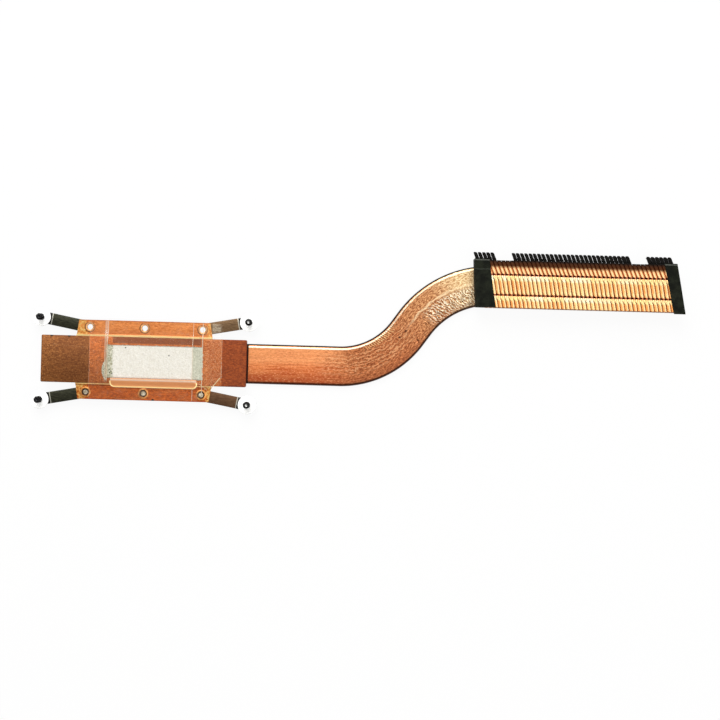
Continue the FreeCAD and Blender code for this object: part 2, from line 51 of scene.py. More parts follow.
class Wire:
    # an output in a material; arithmetic on it adds Math nodes
    def __init__(self, look, socket):
        self.look = look
        self.socket = socket

    def math(self, operation, *others):
        slots = {number + 1: other for number, other in enumerate(others)}
        slots[0] = self
        return self.look.node("ShaderNodeMath", {"operation": operation}, slots)

    def __add__(self, other):
        return self.math("ADD", other)

    def __radd__(self, other):
        return self.math("ADD", other)

    def __sub__(self, other):
        return self.math("SUBTRACT", other)

    def __rsub__(self, other):
        return self.math("MULTIPLY", -1.0).math("ADD", other)

    def __mul__(self, other):
        return self.math("MULTIPLY", other)

    def __rmul__(self, other):
        return self.math("MULTIPLY", other)

    def __truediv__(self, other):
        return self.math("DIVIDE", other)

    def least(self, other):
        return self.math("MINIMUM", other)

    def most(self, other):
        return self.math("MAXIMUM", other)

    def size(self):
        return self.math("ABSOLUTE")

    def fraction(self):
        return self.math("FRACT")

    def floor(self):
        return self.math("FLOOR")

    def root(self):
        return self.math("SQRT")

    def rise(self, low, high):  # 0 before low, 1 after high
        ends = {"From Min": low, "From Max": high, "Value": self}
        return self.look.node("ShaderNodeMapRange", {"interpolation_type": "SMOOTHSTEP"}, ends)

    def fall(self, low, high):  # 1 before low, 0 after high
        ends = {"From Min": low, "From Max": high, "To Min": 1.0, "To Max": 0.0, "Value": self}
        return self.look.node("ShaderNodeMapRange", {"interpolation_type": "SMOOTHSTEP"}, ends)

    def band(self, low, high, soft):  # 1 between low and high
        return self.rise(low - soft, low + soft) * self.fall(high - soft, high + soft)

    def near(self, place, reach):  # 1 at the place, 0 from reach on
        return (self - place).size().fall(0.0, reach)


def shade(red, green, blue):  # a screen colour, 0 to 255, as the linear one of the shader
    parts = []
    for part in (red, green, blue):
        part = part / 255.0
        parts.append(part / 12.92 if part < 0.0405 else ((part + 0.055) / 1.055) ** 2.4)
    return tuple(parts) + (1.0,)


class Nodes:
    def __init__(self, tree):
        self.tree = tree

    def node(self, kind, settings=None, values=None, output=0):
        # settings come first, among them the stops of a ramp, then values or wires for the sockets
        made = self.tree.nodes.new(kind)
        for key, value in (settings or {}).items():
            if key == "stops":
                for stop, (position, colour) in zip(made.color_ramp.elements, value):
                    stop.position = position
                    stop.color = colour
            else:
                setattr(made, key, value)
        for key, value in (values or {}).items():
            if isinstance(value, Wire):
                self.tree.links.new(value.socket, made.inputs[key])
            else:
                made.inputs[key].default_value = value
        return Wire(self, made.outputs[output])


class Look(Nodes):
    # one material with its Principled shader
    def __init__(self, name, base, metallic=0.0, roughness=0.5, others=None):
        self.material = bpy.data.materials.new(name)
        self.material.use_nodes = True
        super().__init__(self.material.node_tree)
        self.shader = self.tree.nodes["Principled BSDF"]
        self.shader.inputs["Base Color"].default_value = base
        self.shader.inputs["Metallic"].default_value = metallic
        self.shader.inputs["Roughness"].default_value = roughness
        for key, value in (others or {}).items():
            self.shader.inputs[key].default_value = value

    def millimetres(self):  # the place on the object, as a vector
        place = self.node("ShaderNodeTexCoord", output="Object")
        return self.node("ShaderNodeVectorMath", {"operation": "SCALE"}, {0: place, "Scale": 1000.0})

    def unrolled(self):  # the piece's own UV map, which holds millimetres over 100
        place = self.node("ShaderNodeUVMap", {"uv_map": "UVMap"})
        return self.node("ShaderNodeVectorMath", {"operation": "SCALE"}, {0: place, "Scale": 100.0})

    def split(self, vector):
        return [self.node("ShaderNodeSeparateXYZ", None, {0: vector}, axis) for axis in ("X", "Y", "Z")]

    def stretched(self, vector, stretch):
        return self.node("ShaderNodeVectorMath", {"operation": "MULTIPLY"}, {0: vector, 1: stretch})

    def clouds(self, vector, scale, stretch=(1.0, 1.0, 1.0), detail=3.0, rough=0.5):
        values = {"Vector": self.stretched(vector, stretch), "Scale": scale, "Detail": detail, "Roughness": rough}
        return self.node("ShaderNodeTexNoise", None, values)

    def cells(self, vector, scale, stretch=(1.0, 1.0, 1.0)):
        values = {"Vector": self.stretched(vector, stretch), "Scale": scale}
        return self.node("ShaderNodeTexVoronoi", None, values, "Distance")

    def chance(self, number):  # a random number for each whole number
        return self.node("ShaderNodeTexWhiteNoise", {"noise_dimensions": "1D"}, {"W": number}, "Value")

    def mix(self, share, first, second):
        return self.node("ShaderNodeMix", {"data_type": "RGBA"}, {0: share, 6: first, 7: second}, 2)

    def feed(self, name, wire):
        self.tree.links.new(wire.socket, self.shader.inputs[name])

    def bump(self, height, depth):  # a height from 0 to 1, that many millimetres deep
        self.feed("Normal", self.node("ShaderNodeBump", None, {"Height": height, "Distance": depth * mm}))


# Stage, camera and light

camera = {"x": 64.24, "y": 2.06, "height": 416.0, "roll": 1.6, "millimetresPerPixel": 0.297, "sensor": 36.0}
floorSize = {"half": 1500.0, "level": -4.02}


def makeStage():
    shape = bmesh.new()
    bmesh.ops.create_grid(shape, x_segments=1, y_segments=1, size=floorSize["half"] * mm)
    bmesh.ops.translate(shape, verts=shape.verts, vec=(0.0, 0.0, floorSize["level"] * mm))
    mesh = bpy.data.meshes.new("floor")
    shape.to_mesh(mesh)
    shape.free()
    floor = bpy.data.objects.new("floor", mesh)
    bpy.context.collection.objects.link(floor)
    paper = Look("whitePaper", shade(250, 250, 250), 0.0, 0.9)
    grain = paper.clouds(paper.millimetres(), 0.08)
    paper.feed("Base Color", paper.mix(grain, shade(248, 248, 247), shade(253, 253, 253)))
    glow = paper.node("ShaderNodeEmission", None, {"Color": (1.0, 1.0, 1.0, 1.0), "Strength": 1.0})
    kinds = ("Is Camera Ray", "Is Glossy Ray", "Is Transmission Ray")
    rays = [paper.node("ShaderNodeLightPath", output=kind) for kind in kinds]
    seen = (rays[0] + rays[1] + rays[2]).least(1.0) * 0.93
    plain = Wire(paper, paper.shader.outputs[0])
    blend = paper.node("ShaderNodeMixShader", None, {0: seen, 1: plain, 2: glow})
    paper.tree.links.new(blend.socket, paper.tree.nodes["Material Output"].inputs["Surface"])
    mesh.materials.append(paper.material)


def makeCamera():
    eye = bpy.data.cameras.new("camera")
    eye.sensor_width = camera["sensor"]
    eye.lens = camera["sensor"] * camera["height"] / (720 * camera["millimetresPerPixel"])
    eye.clip_start = 0.01
    holder = bpy.data.objects.new("camera", eye)
    holder.location = (camera["x"] * mm, camera["y"] * mm, camera["height"] * mm)
    holder.rotation_euler = (0.0, 0.0, math.radians(camera["roll"]))
    bpy.context.collection.objects.link(holder)
    bpy.context.scene.camera = holder
    bpy.context.scene.view_settings.view_transform = "Standard"


lamps = {
    "window": {"at": (-60.0, 520.0, 620.0), "width": 0.55, "power": 4.6},
    "ceiling": {"at": (330.0, -160.0, 800.0), "width": 0.6, "power": 2.0},
}


def makeLight():
    world = bpy.data.worlds.new("studio")
    bpy.context.scene.world = world
    world.use_nodes = True
    studio = Nodes(world.node_tree)
    sky = studio.node("ShaderNodeTexCoord", output="Generated")
    ahead = studio.node("ShaderNodeSeparateXYZ", None, {0: sky}, "Y")
    stops = ((0.05, (0.22, 0.21, 0.21, 1.0)), (0.9, (1.0, 1.0, 0.98, 1.0)))
    tone = studio.node("ShaderNodeValToRGB", {"stops": stops}, {0: ahead * 0.5 + 0.5})
    ground = studio.tree.nodes["Background"]
    studio.tree.links.new(tone.socket, ground.inputs["Color"])
    ground.inputs["Strength"].default_value = 0.6
    for name, lamp in lamps.items():
        light = bpy.data.lights.new(name, "AREA")
        light.size = lamp["width"]
        light.energy = lamp["power"]
        holder = bpy.data.objects.new(name, light)
        place = Vector(lamp["at"]) * mm
        holder.location = place
        holder.rotation_euler = (Vector((0.06, 0.01, 0.0)) - place).to_track_quat("-Z", "Y").to_euler()
        bpy.context.collection.objects.link(holder)


# Helpers for pieces

def addPiece(name, shape, look, rides=body, replaced=(), soften=40.0, levelFlat=False):
    # writes a bmesh in millimetres as a finished piece
    bmesh.ops.scale(shape, verts=shape.verts, vec=(mm, mm, mm))
    mesh = bpy.data.meshes.new(name)
    shape.to_mesh(mesh)
    shape.free()
    mesh.shade_smooth()
    if soften:
        mesh.set_sharp_from_angle(angle=math.radians(soften))
    if levelFlat:
        # keeps the softened edges from shading the level faces
        for face in mesh.polygons:
            face.use_smooth = abs(face.normal.z) < 0.9999
    piece = bpy.data.objects.new(name, mesh)
    bpy.context.collection.objects.link(piece)
    mesh.materials.append(look.material)
    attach(piece, rides)
    if replaced:
        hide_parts(*replaced)
    return piece


def copyOf(node):
    # the node's mesh with its loose triangles joined into plain faces, in millimetres
    shape = bmesh.new()
    shape.from_mesh(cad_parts[node].data)
    bmesh.ops.scale(shape, verts=shape.verts, vec=(1000.0, 1000.0, 1000.0))
    bmesh.ops.remove_doubles(shape, verts=shape.verts, dist=0.0005)
    bmesh.ops.dissolve_limit(
        shape, angle_limit=math.radians(1.0), verts=shape.verts, edges=shape.edges, delimit={"NORMAL"})
    return shape


def roundEdges(shape, offset, angle, segments=2):
    # bevels the edges that turn by more than the angle
    sharp = [edge for edge in shape.edges
             if edge.is_manifold and edge.calc_face_angle(0.0) > math.radians(angle)]
    bmesh.ops.bevel(
        shape, geom=sharp, offset=offset, offset_type="OFFSET", segments=segments, profile=0.5,
        affect="EDGES", material=-1, clamp_overlap=True)


def wrapGrid(columns, rows, place, unroll=None):
    # a grid whose points, from 0 to 1 both ways, go where place says; unroll gives its UV
    shape = bmesh.new()
    bmesh.ops.create_grid(shape, x_segments=columns, y_segments=rows, size=0.5)
    spots = {vert: (vert.co.x + 0.5, vert.co.y + 0.5) for vert in shape.verts}
    if unroll:
        layer = shape.loops.layers.uv.new("UVMap")
        for face in shape.faces:
            for loop in face.loops:
                loop[layer].uv = unroll(*spots[loop.vert])
    for vert, spot in spots.items():
        vert.co = place(*spot)
    return shape


def turned(profile, steps):
    # a profile of (radius, height) points spun about Z
    shape = bmesh.new()
    points = [shape.verts.new((radius, 0.0, height)) for radius, height in profile]
    edges = [shape.edges.new(pair) for pair in zip(points, points[1:])]
    bmesh.ops.spin(
        shape, geom=points + edges, cent=(0, 0, 0), axis=(0, 0, 1), angle=math.tau, steps=steps,
        use_merge=True, use_duplicate=False)
    bmesh.ops.remove_doubles(shape, verts=shape.verts, dist=0.0005)
    bmesh.ops.recalc_face_normals(shape, faces=shape.faces)
    return shape


def joined(first, second):
    # adds the second shape to the first
    spare = bpy.data.meshes.new("spare")
    second.to_mesh(spare)
    second.free()
    first.from_mesh(spare)
    bpy.data.meshes.remove(spare)
    return first


def rough(x, y, seed=0.0):  # smooth noise from -1 to 1
    return noise.noise(Vector((x, y, seed)))


def ramp(value, low, high):  # 0 before low, 1 after high, smooth between
    share = max(0.0, min(1.0, (value - low) / (high - low)))
    return share * share * (3.0 - 2.0 * share)


makeStage()
makeCamera()
makeLight()
print("stage, camera and light")

# Base plate: drawn copper with a fine grain and nicks on its rim, brighter under the film

plate = {"filmLeft": -16.2, "filmRight": 23.25, "edgeSoft": 0.12, "nicks": ((-22.3, 7.0), (-27.5, 7.0))}


def copperGrain(look, place):
    # rolled grain from 0 to 1
    fine = look.clouds(place, 1.7, (0.6, 1.3, 1.0), 3.0, 0.7)
    wide = look.clouds(place, 0.3, (0.5, 1.3, 1.0), 3.0, 0.55)
    return fine * 0.75 + wide * 0.25


def distanceTo(x, y, spotX, spotY):
    return ((x - spotX) * (x - spotX) + (y - spotY) * (y - spotY)).root()


def plateLook():
    look = Look("plateCopper", shade(160, 92, 55), 0.6, 0.42)
    place = look.millimetres()
    x, y, z = look.split(place)
    grain = copperGrain(look, place)
    specks = look.clouds(place, 2.4, (1.3, 0.7, 1.0), 2.0, 0.6).rise(0.56, 0.68)
    leftBare = look.mix(grain.rise(0.4, 0.6), shade(112, 62, 24), shade(158, 97, 46))
    leftBare = look.mix(specks * 0.8, leftBare, shade(196, 134, 74))
    scratch = (y - 2.4 + x * 0.07 + (look.clouds(place, 0.3) - 0.5) * 0.3).size().fall(0.0, 0.11)
    scratch = scratch * look.clouds(place, 1.3).rise(0.35, 0.6)
    leftBare = look.mix(scratch * 0.6, leftBare, shade(200, 150, 104))
    leftBare = look.mix(x.rise(-31.0, -20.5) * 0.42, leftBare, shade(100, 50, 16))
    rightBare = look.mix(grain.rise(0.4, 0.62), shade(118, 48, 12), shade(160, 75, 26))
    rightBare = look.mix(specks * 0.35, rightBare, shade(188, 106, 54))
    covered = look.mix(grain.rise(0.38, 0.64), shade(147, 69, 18), shade(199, 107, 43))
    covered = look.mix(specks * 0.5, covered, shade(234, 160, 96))
    crackle = look.clouds(place, 0.9, (1.0, 1.0, 1.0), 4.0, 0.75).near(0.5, 0.03) * x.rise(17.6, 18.6)
    covered = look.mix(crackle * 0.7, covered, shade(244, 184, 126))
    covered = look.mix(x.rise(18.0, 19.6) * 0.32, covered, shade(150, 66, 28))
    bare = look.mix(x.rise(0.0, 1.0), leftBare, rightBare)
    colour = look.mix(x.band(plate["filmLeft"], plate["filmRight"], 0.06), bare, covered)
    shadow = x.band(-9.3, 17.0, 0.3) * y.rise(4.9, 5.2)
    colour = look.mix(shadow * 0.9, colour, look.mix(grain, shade(90, 41, 9), shade(130, 60, 17)))
    for nickX, nickY in plate["nicks"]:
        colour = look.mix(distanceTo(x, y, nickX, nickY).fall(0.25, 0.7), colour, shade(18, 12, 8))
    # painted shade: the plate's sides, below its contact face, are darkened
    colour = look.mix(z.fall(-0.5, -0.05) * 0.45, colour, shade(92, 48, 24))
    look.feed("Base Color", colour)
    look.feed("Roughness", grain * 0.25 + 0.36)
    look.bump(grain + specks * 0.2, 0.035)
    return look


def makePlate():
    shape = copyOf("base_plate")
    roundEdges(shape, plate["edgeSoft"], 60.0)
    addPiece("basePlate", shape, plateLook(), replaced=["base_plate"])


makePlate()
print("base plate")

# Rails, leaf springs and rivets

rails = {"innerY": 7.0, "outerY": 11.8, "edgeSoft": 0.07, "nick": (2.9, -11.6)}
springs = {"edgeSoft": 0.06, "bendFromScrew": 3.2}
fixing = {"x": 30.95, "y": 12.3}
rivets = {
    "seat": -0.7, "bore": 0.86, "shank": 1.1, "collar": 1.58, "lip": 0.12, "low": -1.6, "cup": -1.02, "steps": 40}


def railLook():
    look = Look("railCopper", shade(205, 115, 60), 0.8, 0.36)
    place = look.millimetres()
    x, y, z = look.split(place)
    grain = copperGrain(look, place)
    streak = look.clouds(place, 0.22, (0.5, 2.2, 1.0), 3.0, 0.6)
    upper = look.mix(grain.rise(0.34, 0.66), shade(216, 117, 50), shade(252, 162, 88))
    upper = look.mix(y.fall(8.0, 10.4) * 0.42, upper, shade(202, 102, 40))
    lower = look.mix(grain.rise(0.34, 0.66), shade(163, 68, 13), shade(211, 103, 33))
    colour = look.mix(y.rise(-1.0, 1.0), lower, upper)
    colour = look.mix(streak.rise(0.5, 0.7) * 0.2, colour, shade(240, 164, 98))
    wobble = (look.clouds(place, 0.9) - 0.5) * 1.6
    left = (x + wobble + y.size() * 0.12).fall(-16.4, -15.7)
    right = (x + wobble - y.size() * 0.1).rise(17.2, 18.0)
    mottle = look.clouds(place, 1.3, (1.0, 1.0, 1.0), 4.0, 0.7)
    bright = (left + right).least(1.0) * mottle.rise(0.36, 0.56)
    colour = look.mix(bright * 0.85, colour, look.mix(mottle.rise(0.45, 0.65), shade(238, 168, 78), shade(255, 216, 132)))
    # painted highlight: a bright line along the fold at each rail's inner edge, weaker on the lower rail
    fold = (y.size() - rails["innerY"] - y.rise(-1.0, 1.0) * 0.25).fall(0.0, 0.45)
    colour = look.mix(fold * 0.9, colour, shade(255, 234, 164))
    colour = look.mix(y.fall(-1.0, 1.0) * fold * 0.45, colour, shade(232, 160, 84))
    outer = y.size().rise(rails["outerY"] - 0.5, rails["outerY"])
    colour = look.mix(outer * 0.5, colour, shade(150, 74, 34))
    colour = look.mix(distanceTo(x, y, *rails["nick"]).fall(0.2, 0.5), colour, shade(16, 10, 8))
    look.feed("Base Color", colour)
    look.feed("Roughness", grain * 0.25 + 0.24)
    look.bump(grain, 0.02)
    return look


def springLook():
    look = Look("springSteel", shade(60, 56, 46), 0.7, 0.42)
    place = look.millimetres()
    x, y, z = look.split(place)
    brushed = look.clouds(place, 1.6, (0.5, 2.4, 1.0), 3.0, 0.6)
    leftTone = look.mix(brushed.rise(0.3, 0.7), shade(32, 32, 22), shade(60, 60, 42))
    rightTone = look.mix(brushed.rise(0.3, 0.7), shade(90, 66, 42), shade(124, 96, 66))
    rightTone = look.mix(y.fall(-1.0, 1.0) * 0.55, rightTone, shade(78, 44, 24))
    colour = look.mix(x.rise(-1.0, 1.0), leftTone, rightTone)
    along = (x.size() - fixing["x"]) * 0.982 + (y.size() - fixing["y"]) * 0.188
    # painted highlight along the bend near each arm's end
    crease = along.near(-springs["bendFromScrew"], 0.22)
    colour = look.mix(crease * 0.9, colour, shade(204, 202, 188))
    # painted shade: the tab beyond the bend, under the washer, is near black
    colour = look.mix(along.rise(-3.05, -2.95), colour, shade(18, 18, 15))
    look.feed("Base Color", colour)
    look.feed("Roughness", brushed * 0.25 + 0.3)
    look.bump(brushed, 0.012)
    return look


def rivetLook(names):
    look = Look("rivetMetal", shade(196, 168, 130), 0.85, 0.34)
    place = look.millimetres()
    x, y, z = look.split(place)
    tarnish = look.clouds(place, 1.6, (1.0, 1.0, 1.0), 4.0, 0.6)
    reach = None
    for name in names:  # the distance from the nearest rivet's axis
        centre = (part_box(name)[0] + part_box(name)[1]) * 500.0
        own = distanceTo(x, y, centre.x, centre.y)
        reach = reach.least(own) if reach else own
    upper = look.mix(tarnish.rise(0.35, 0.65), shade(206, 128, 74), shade(250, 196, 132))
    # painted shade on the outer side of the upper rivets' rolled lips
    upper = look.mix((reach + (tarnish - 0.5) * 0.3).rise(1.2, 1.45) * 0.85, upper, shade(116, 60, 30))
    lower = look.mix(tarnish.rise(0.35, 0.65), shade(196, 120, 58), shade(234, 164, 92))
    # painted shade on the inner side of the lip and the bore wall of the lower rivets
    lower = look.mix((reach + (tarnish - 0.5) * 0.2).fall(1.05, 1.2), lower, shade(66, 38, 20))
    colour = look.mix(y.rise(-1.0, 1.0), lower, upper)
    # painted shade inside the bores, below the seat
    colour = look.mix(z.fall(-0.76, -0.7) * 0.85, colour, shade(70, 36, 20))
    floorTone = look.mix(tarnish.rise(0.35, 0.65), shade(186, 170, 140), shade(232, 222, 200))
    colour = look.mix(reach.fall(0.62, 0.76) * y.fall(-1.0, 1.0), colour, floorTone)
    look.feed("Base Color", colour)
    look.feed("Roughness", tarnish * 0.3 + 0.2)
    look.bump(tarnish, 0.015)
    return look


def makeRivet(name, look):
    # a tube with a rolled lip, closed like a cup in the lower rail
    r = rivets
    low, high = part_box(name)
    place = (low + high) * 500.0
    profile = [(r["shank"], r["low"]), (r["shank"], r["seat"] - 0.02), (r["shank"] + 0.05, r["seat"])]
    profile += [(r["collar"] - 0.06, r["seat"]), (r["collar"], r["seat"] + 0.03)]
    middle = (r["collar"] + r["bore"]) / 2
    half = (r["collar"] - r["bore"]) / 2
    for step in range(5):  # the rolled lip
        angle = math.radians(20 + 35 * step)
        profile.append((middle + half * math.cos(angle), r["seat"] + r["lip"] * (0.35 + 0.65 * math.sin(angle))))
    profile.append((r["bore"], r["seat"] - 0.1))
    if place.y > 0.0:
        profile += [(r["bore"], r["low"]), profile[0]]
    else:
        profile += [(r["bore"], r["cup"] + 0.1), (r["bore"] - 0.1, r["cup"]), (0.0, r["cup"] - 0.02)]
        profile = [(0.0, r["low"])] + profile
    shape = turned(profile, r["steps"])
    bmesh.ops.translate(shape, verts=shape.verts, vec=(place.x, place.y, 0.0))
    addPiece("piece_" + name, shape, look, replaced=[name])


def makeMounts():
    copperLook = railLook()
    steelLook = springLook()
    ends = ("left", "middle", "right")
    sides = ("upper", "lower")
    metalLook = rivetLook(["rivet_%s_%s" % (side, end) for side in sides for end in ends])
    for side in sides:
        shape = copyOf("rail_" + side)
        roundEdges(shape, rails["edgeSoft"], 50.0)
        addPiece("piece_rail_" + side, shape, copperLook, replaced=["rail_" + side], levelFlat=True)
        shape = copyOf("leaf_spring_" + side)
        roundEdges(shape, springs["edgeSoft"], 50.0)
        addPiece("piece_spring_" + side, shape, steelLook, replaced=["leaf_spring_" + side])
        for end in ends:
            makeRivet("rivet_%s_%s" % (side, end), metalLook)


makeMounts()
print("rails, leaf springs and rivets")

# Captive screws and nylon washers

screw = {"major": 0.99, "minor": 0.8, "pitch": 0.4, "top": 2.2, "tip": 0.3, "steps": 24, "headSoft": 0.12}
washer = {"radius": 2.75, "edge": 0.12, "steps": 64}


def aroundFixing(look, x, y):
    return distanceTo(x.size(), y.size(), fixing["x"], fixing["y"])


def screwLook():
    look = Look("blackSteel", shade(20, 20, 21), 0.6, 0.32)
    place = look.millimetres()
    x, y, z = look.split(place)
    worn = look.clouds(place, 2.0, (1.0, 1.0, 1.0), 4.0, 0.6)
    colour = look.mix(worn.rise(0.45, 0.75), shade(14, 14, 15), shade(46, 46, 46))
    # painted highlight: a bright spot in the hollow tip of the right-hand screws only
    tip = z.rise(1.98, 2.12) * aroundFixing(look, x, y).fall(0.24, 0.42) * x.rise(-1.0, 1.0)
    colour = look.mix(tip, colour, shade(226, 226, 222))
    look.feed("Base Color", colour)
    look.feed("Roughness", worn * 0.25 + 0.2)
    look.bump(worn, 0.01)
    return look


def nylonLook():
    # the washers glow faintly white, painted light that brightens them
    look = Look("nylon", shade(246, 246, 244), 0.0, 0.42, {"Emission Color": (1.0, 1.0, 0.99, 1.0), "Emission Strength": 0.3})
    place = look.millimetres()
    x, y, z = look.split(place)
    haze = look.clouds(place, 0.7)
    colour = look.mix(haze.rise(0.3, 0.7), shade(244, 244, 241), shade(254, 254, 253))
    # painted shade: the washers' rims are greyer
    colour = look.mix(aroundFixing(look, x, y).rise(2.55, 2.8) * 0.4, colour, shade(206, 208, 204))
    look.feed("Base Color", colour)
    look.feed("Roughness", haze * 0.2 + 0.35)
    look.bump(haze, 0.02)
    return look


def makeThread(low, high):
    # a V profile spun along a helix and cut level at both ends
    s = screw
    shape = bmesh.new()
    outline = [(s["minor"], 0.0), (s["minor"], 0.06), (s["major"], 0.18), (s["major"], 0.22), (s["minor"], 0.34)]
    outline.append((s["minor"], s["pitch"]))
    points = [shape.verts.new((radius, 0.0, low + height - s["pitch"])) for radius, height in outline]
    edges = [shape.edges.new(pair) for pair in zip(points, points[1:])]
    steps = int(((high - low) / s["pitch"] + 1.0) * s["steps"])
    bmesh.ops.spin(
        shape, geom=points + edges, cent=(0, 0, 0), axis=(0, 0, 1), dvec=(0, 0, s["pitch"] / s["steps"]),
        angle=math.tau * steps / s["steps"], steps=steps, use_merge=False, use_duplicate=False)
    bmesh.ops.remove_doubles(shape, verts=shape.verts, dist=0.002)
    for height, fromBelow in ((low, True), (high, False)):
        bmesh.ops.bisect_plane(
            shape, geom=shape.verts[:] + shape.edges[:] + shape.faces[:], plane_co=(0, 0, height),
            plane_no=(0, 0, 1), clear_inner=fromBelow, clear_outer=not fromBelow)
    bmesh.ops.recalc_face_normals(shape, faces=shape.faces)
    return shape


def makeScrew(name, x, y, look):
    # head, cross recess and neck come from the CAD screw, thread and hollow tip are added
    s = screw
    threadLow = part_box(name.replace("screw", "washer"))[1].z * 1000.0 + 0.06
    threadHigh = s["top"] - s["tip"]
    shape = copyOf(name)
    bmesh.ops.bisect_plane(
        shape, geom=shape.verts[:] + shape.edges[:] + shape.faces[:], plane_co=(0, 0, threadLow - 0.1),
        plane_no=(0, 0, 1), clear_outer=True)
    bmesh.ops.translate(shape, verts=shape.verts, vec=(-x, -y, 0.0))
    roundEdges(shape, s["headSoft"], 60.0)
    neck = max(abs(vert.co.x) for vert in shape.verts if vert.co.z > threadLow - 0.2)
    profile = [(neck, threadLow - 0.1), (neck, threadLow), (s["minor"], threadLow + 0.05), (s["minor"], threadHigh)]
    profile += [(s["major"] - 0.12, threadHigh), (s["major"] - 0.3, s["top"] - 0.05), (s["major"] - 0.38, s["top"])]
    profile += [(0.42, s["top"]), (0.3, s["top"] - 0.1), (0.0, s["top"] - 0.16)]
    shape = joined(shape, turned(profile, s["steps"]))
    shape = joined(shape, makeThread(threadLow, threadHigh + 0.05))
    bmesh.ops.translate(shape, verts=shape.verts, vec=(x, y, 0.0))
    addPiece("piece_" + name, shape, look, rides=name, replaced=[name], soften=35.0)


def makeWasher(name, x, y, look):
    w = washer
    low, high = (corner.z * 1000.0 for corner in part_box(name))
    e = w["edge"]
    bore = washerBore(name, x, y)
    profile = [(bore, low), (w["radius"] - e, low), (w["radius"] - e * 0.3, low + e * 0.3), (w["radius"], low + e)]
    profile += [(w["radius"], high - e), (w["radius"] - e * 0.3, high - e * 0.3), (w["radius"] - e, high)]
    profile += [(w["radius"] - 0.5, high - 0.02), (bore + 0.4, high - 0.03), (bore + 0.12, high)]
    profile += [(bore, high - 0.08), (bore, low)]
    shape = turned(profile, w["steps"])
    bmesh.ops.translate(shape, verts=shape.verts, vec=(x, y, 0.0))
    addPiece("piece_" + name, shape, look, rides=name, replaced=[name], soften=50.0)


def washerBore(name, x, y):
    centre = Vector((x, y))
    return min((Vector(vert.co[:2]) * 1000.0 - centre).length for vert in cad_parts[name].data.vertices)


def makeFixings():
    blackLook = screwLook()
    whiteLook = nylonLook()
    for side, up in (("upper", 1), ("lower", -1)):
        for end, out in (("left", -1), ("right", 1)):
            x, y = out * fixing["x"], up * fixing["y"]
            makeScrew("screw_%s_%s" % (side, end), x, y, blackLook)
            makeWasher("washer_%s_%s" % (side, end), x, y, whiteLook)


makeFixings()
print("screws and washers")

# Heat pipe: a flattened tube on the CAD path, with wrinkles where its bends squeeze the wall

pipe = {
    "width": 11.9, "height": 2.0, "middle": -3.0, "start": -28.0, "bendStart": 58.1, "first": 24.4,
    "second": 28.0, "angle": 54.8, "link": 3.85, "end": 157.1, "columns": 1400, "around": 72, "pinch": 5.0,
    "pits": ((109.5, -3.6, 0.22), (112.0, -4.4, 0.16), (124.0, -2.0, 0.12), (129.5, -3.5, 0.16), (133.0, 0.5, 0.1))}


def pipeRoute():
    turn = math.radians(pipe["angle"])
    across = (pipe["first"] + pipe["second"]) * math.sin(turn) + pipe["link"] * math.cos(turn)
    pieces = [("run", pipe["bendStart"] - pipe["start"]), ("left", pipe["first"] * turn), ("run", pipe["link"])]
    pieces += [("right", pipe["second"] * turn), ("run", pipe["end"] - pipe["bendStart"] - across)]
    return pieces


route = pipeRoute()
routeLength = sum(length for kind, length in route)
bendOne = route[0][1]
bendOneEnd = bendOne + route[1][1]
bendTwo = bendOneEnd + route[2][1]
bendTwoEnd = bendTwo + route[3][1]


def alongPipe(distance):
    # centre and heading of the pipe at a distance from its start
    x, y, heading = pipe["start"], 0.0, 0.0
    for kind, length in route:
        step = min(distance, length)
        if kind == "run":
            x += step * math.cos(heading)
            y += step * math.sin(heading)
        else:
            way = 1.0 if kind == "left" else -1.0
            radius = pipe["first"] if kind == "left" else pipe["second"]
            turn = way * step / radius
            x += radius * way * (math.sin(heading + turn) - math.sin(heading))
            y += radius * way * (math.cos(heading) - math.cos(heading + turn))
            heading += turn
        distance -= step
        if distance <= 0.0:
            break
    return x, y, heading


def pipeDip(distance, across):
    # how far the upper wall sinks in the bends: wrinkles inside, a shallow trough, pits
    first = ramp(distance, bendOne - 2.0, bendOne + 4.0) * (1.0 - ramp(distance, bendOneEnd - 3.0, bendOneEnd + 3.0))
    second = ramp(distance, bendTwo - 3.0, bendTwo + 4.0) * (1.0 - ramp(distance, bendTwoEnd - 2.0, bendTwoEnd + 5.0))
    bend = max(first, second)
    if bend <= 0.0:
        return 0.0
    patch = 0.5 + 0.5 * rough(distance * 0.35, across * 0.6, 21.0)
    wave = 0.5 + 0.5 * math.sin(distance * 7.5 + 5.0 * rough(distance * 0.7, across * 0.8, 3.0) + across * 1.4)
    dip = first * ramp(across, 2.6, 4.6) * wave * 0.05 * (0.4 + patch)
    wave = 0.5 + 0.5 * math.sin(distance * 5.6 + 6.0 * rough(distance * 0.5, across * 0.6, 9.0) + across * 2.2)
    dip += second * (1.0 - ramp(across, -1.6, 0.8)) * wave * 0.11 * (0.3 + 1.2 * patch)
    dip += bend * 0.045 * (0.5 + 0.5 * rough(distance * 0.9, across * 1.4, 14.0))
    dip += bend * 0.05 * math.exp(-((across - 1.2) / 1.6) ** 2)
    for pitX, pitY, depth in pipe["pits"]:
        dip += depth * math.exp(-((distance - pitX) ** 2 + (across - pitY) ** 2) / 0.18)
    return dip


def pipeSection(share):
    # a point across and above the middle of the flattened section, from the middle of its underside
    radius = pipe["height"] / 2
    half = pipe["width"] / 2 - radius
    bow = math.pi * radius
    walked = share * (4 * half + 2 * bow)
    if walked < half:
        return walked, -radius
    walked -= half
    if walked < bow:
        angle = walked / radius - math.pi / 2
        return half + radius * math.cos(angle), radius * math.sin(angle)
    walked -= bow
    if walked < 2 * half:
        return half - walked, radius
    walked -= 2 * half
    if walked < bow:
        angle = walked / radius + math.pi / 2
        return -half + radius * math.cos(angle), radius * math.sin(angle)
    return walked - bow - half, -radius


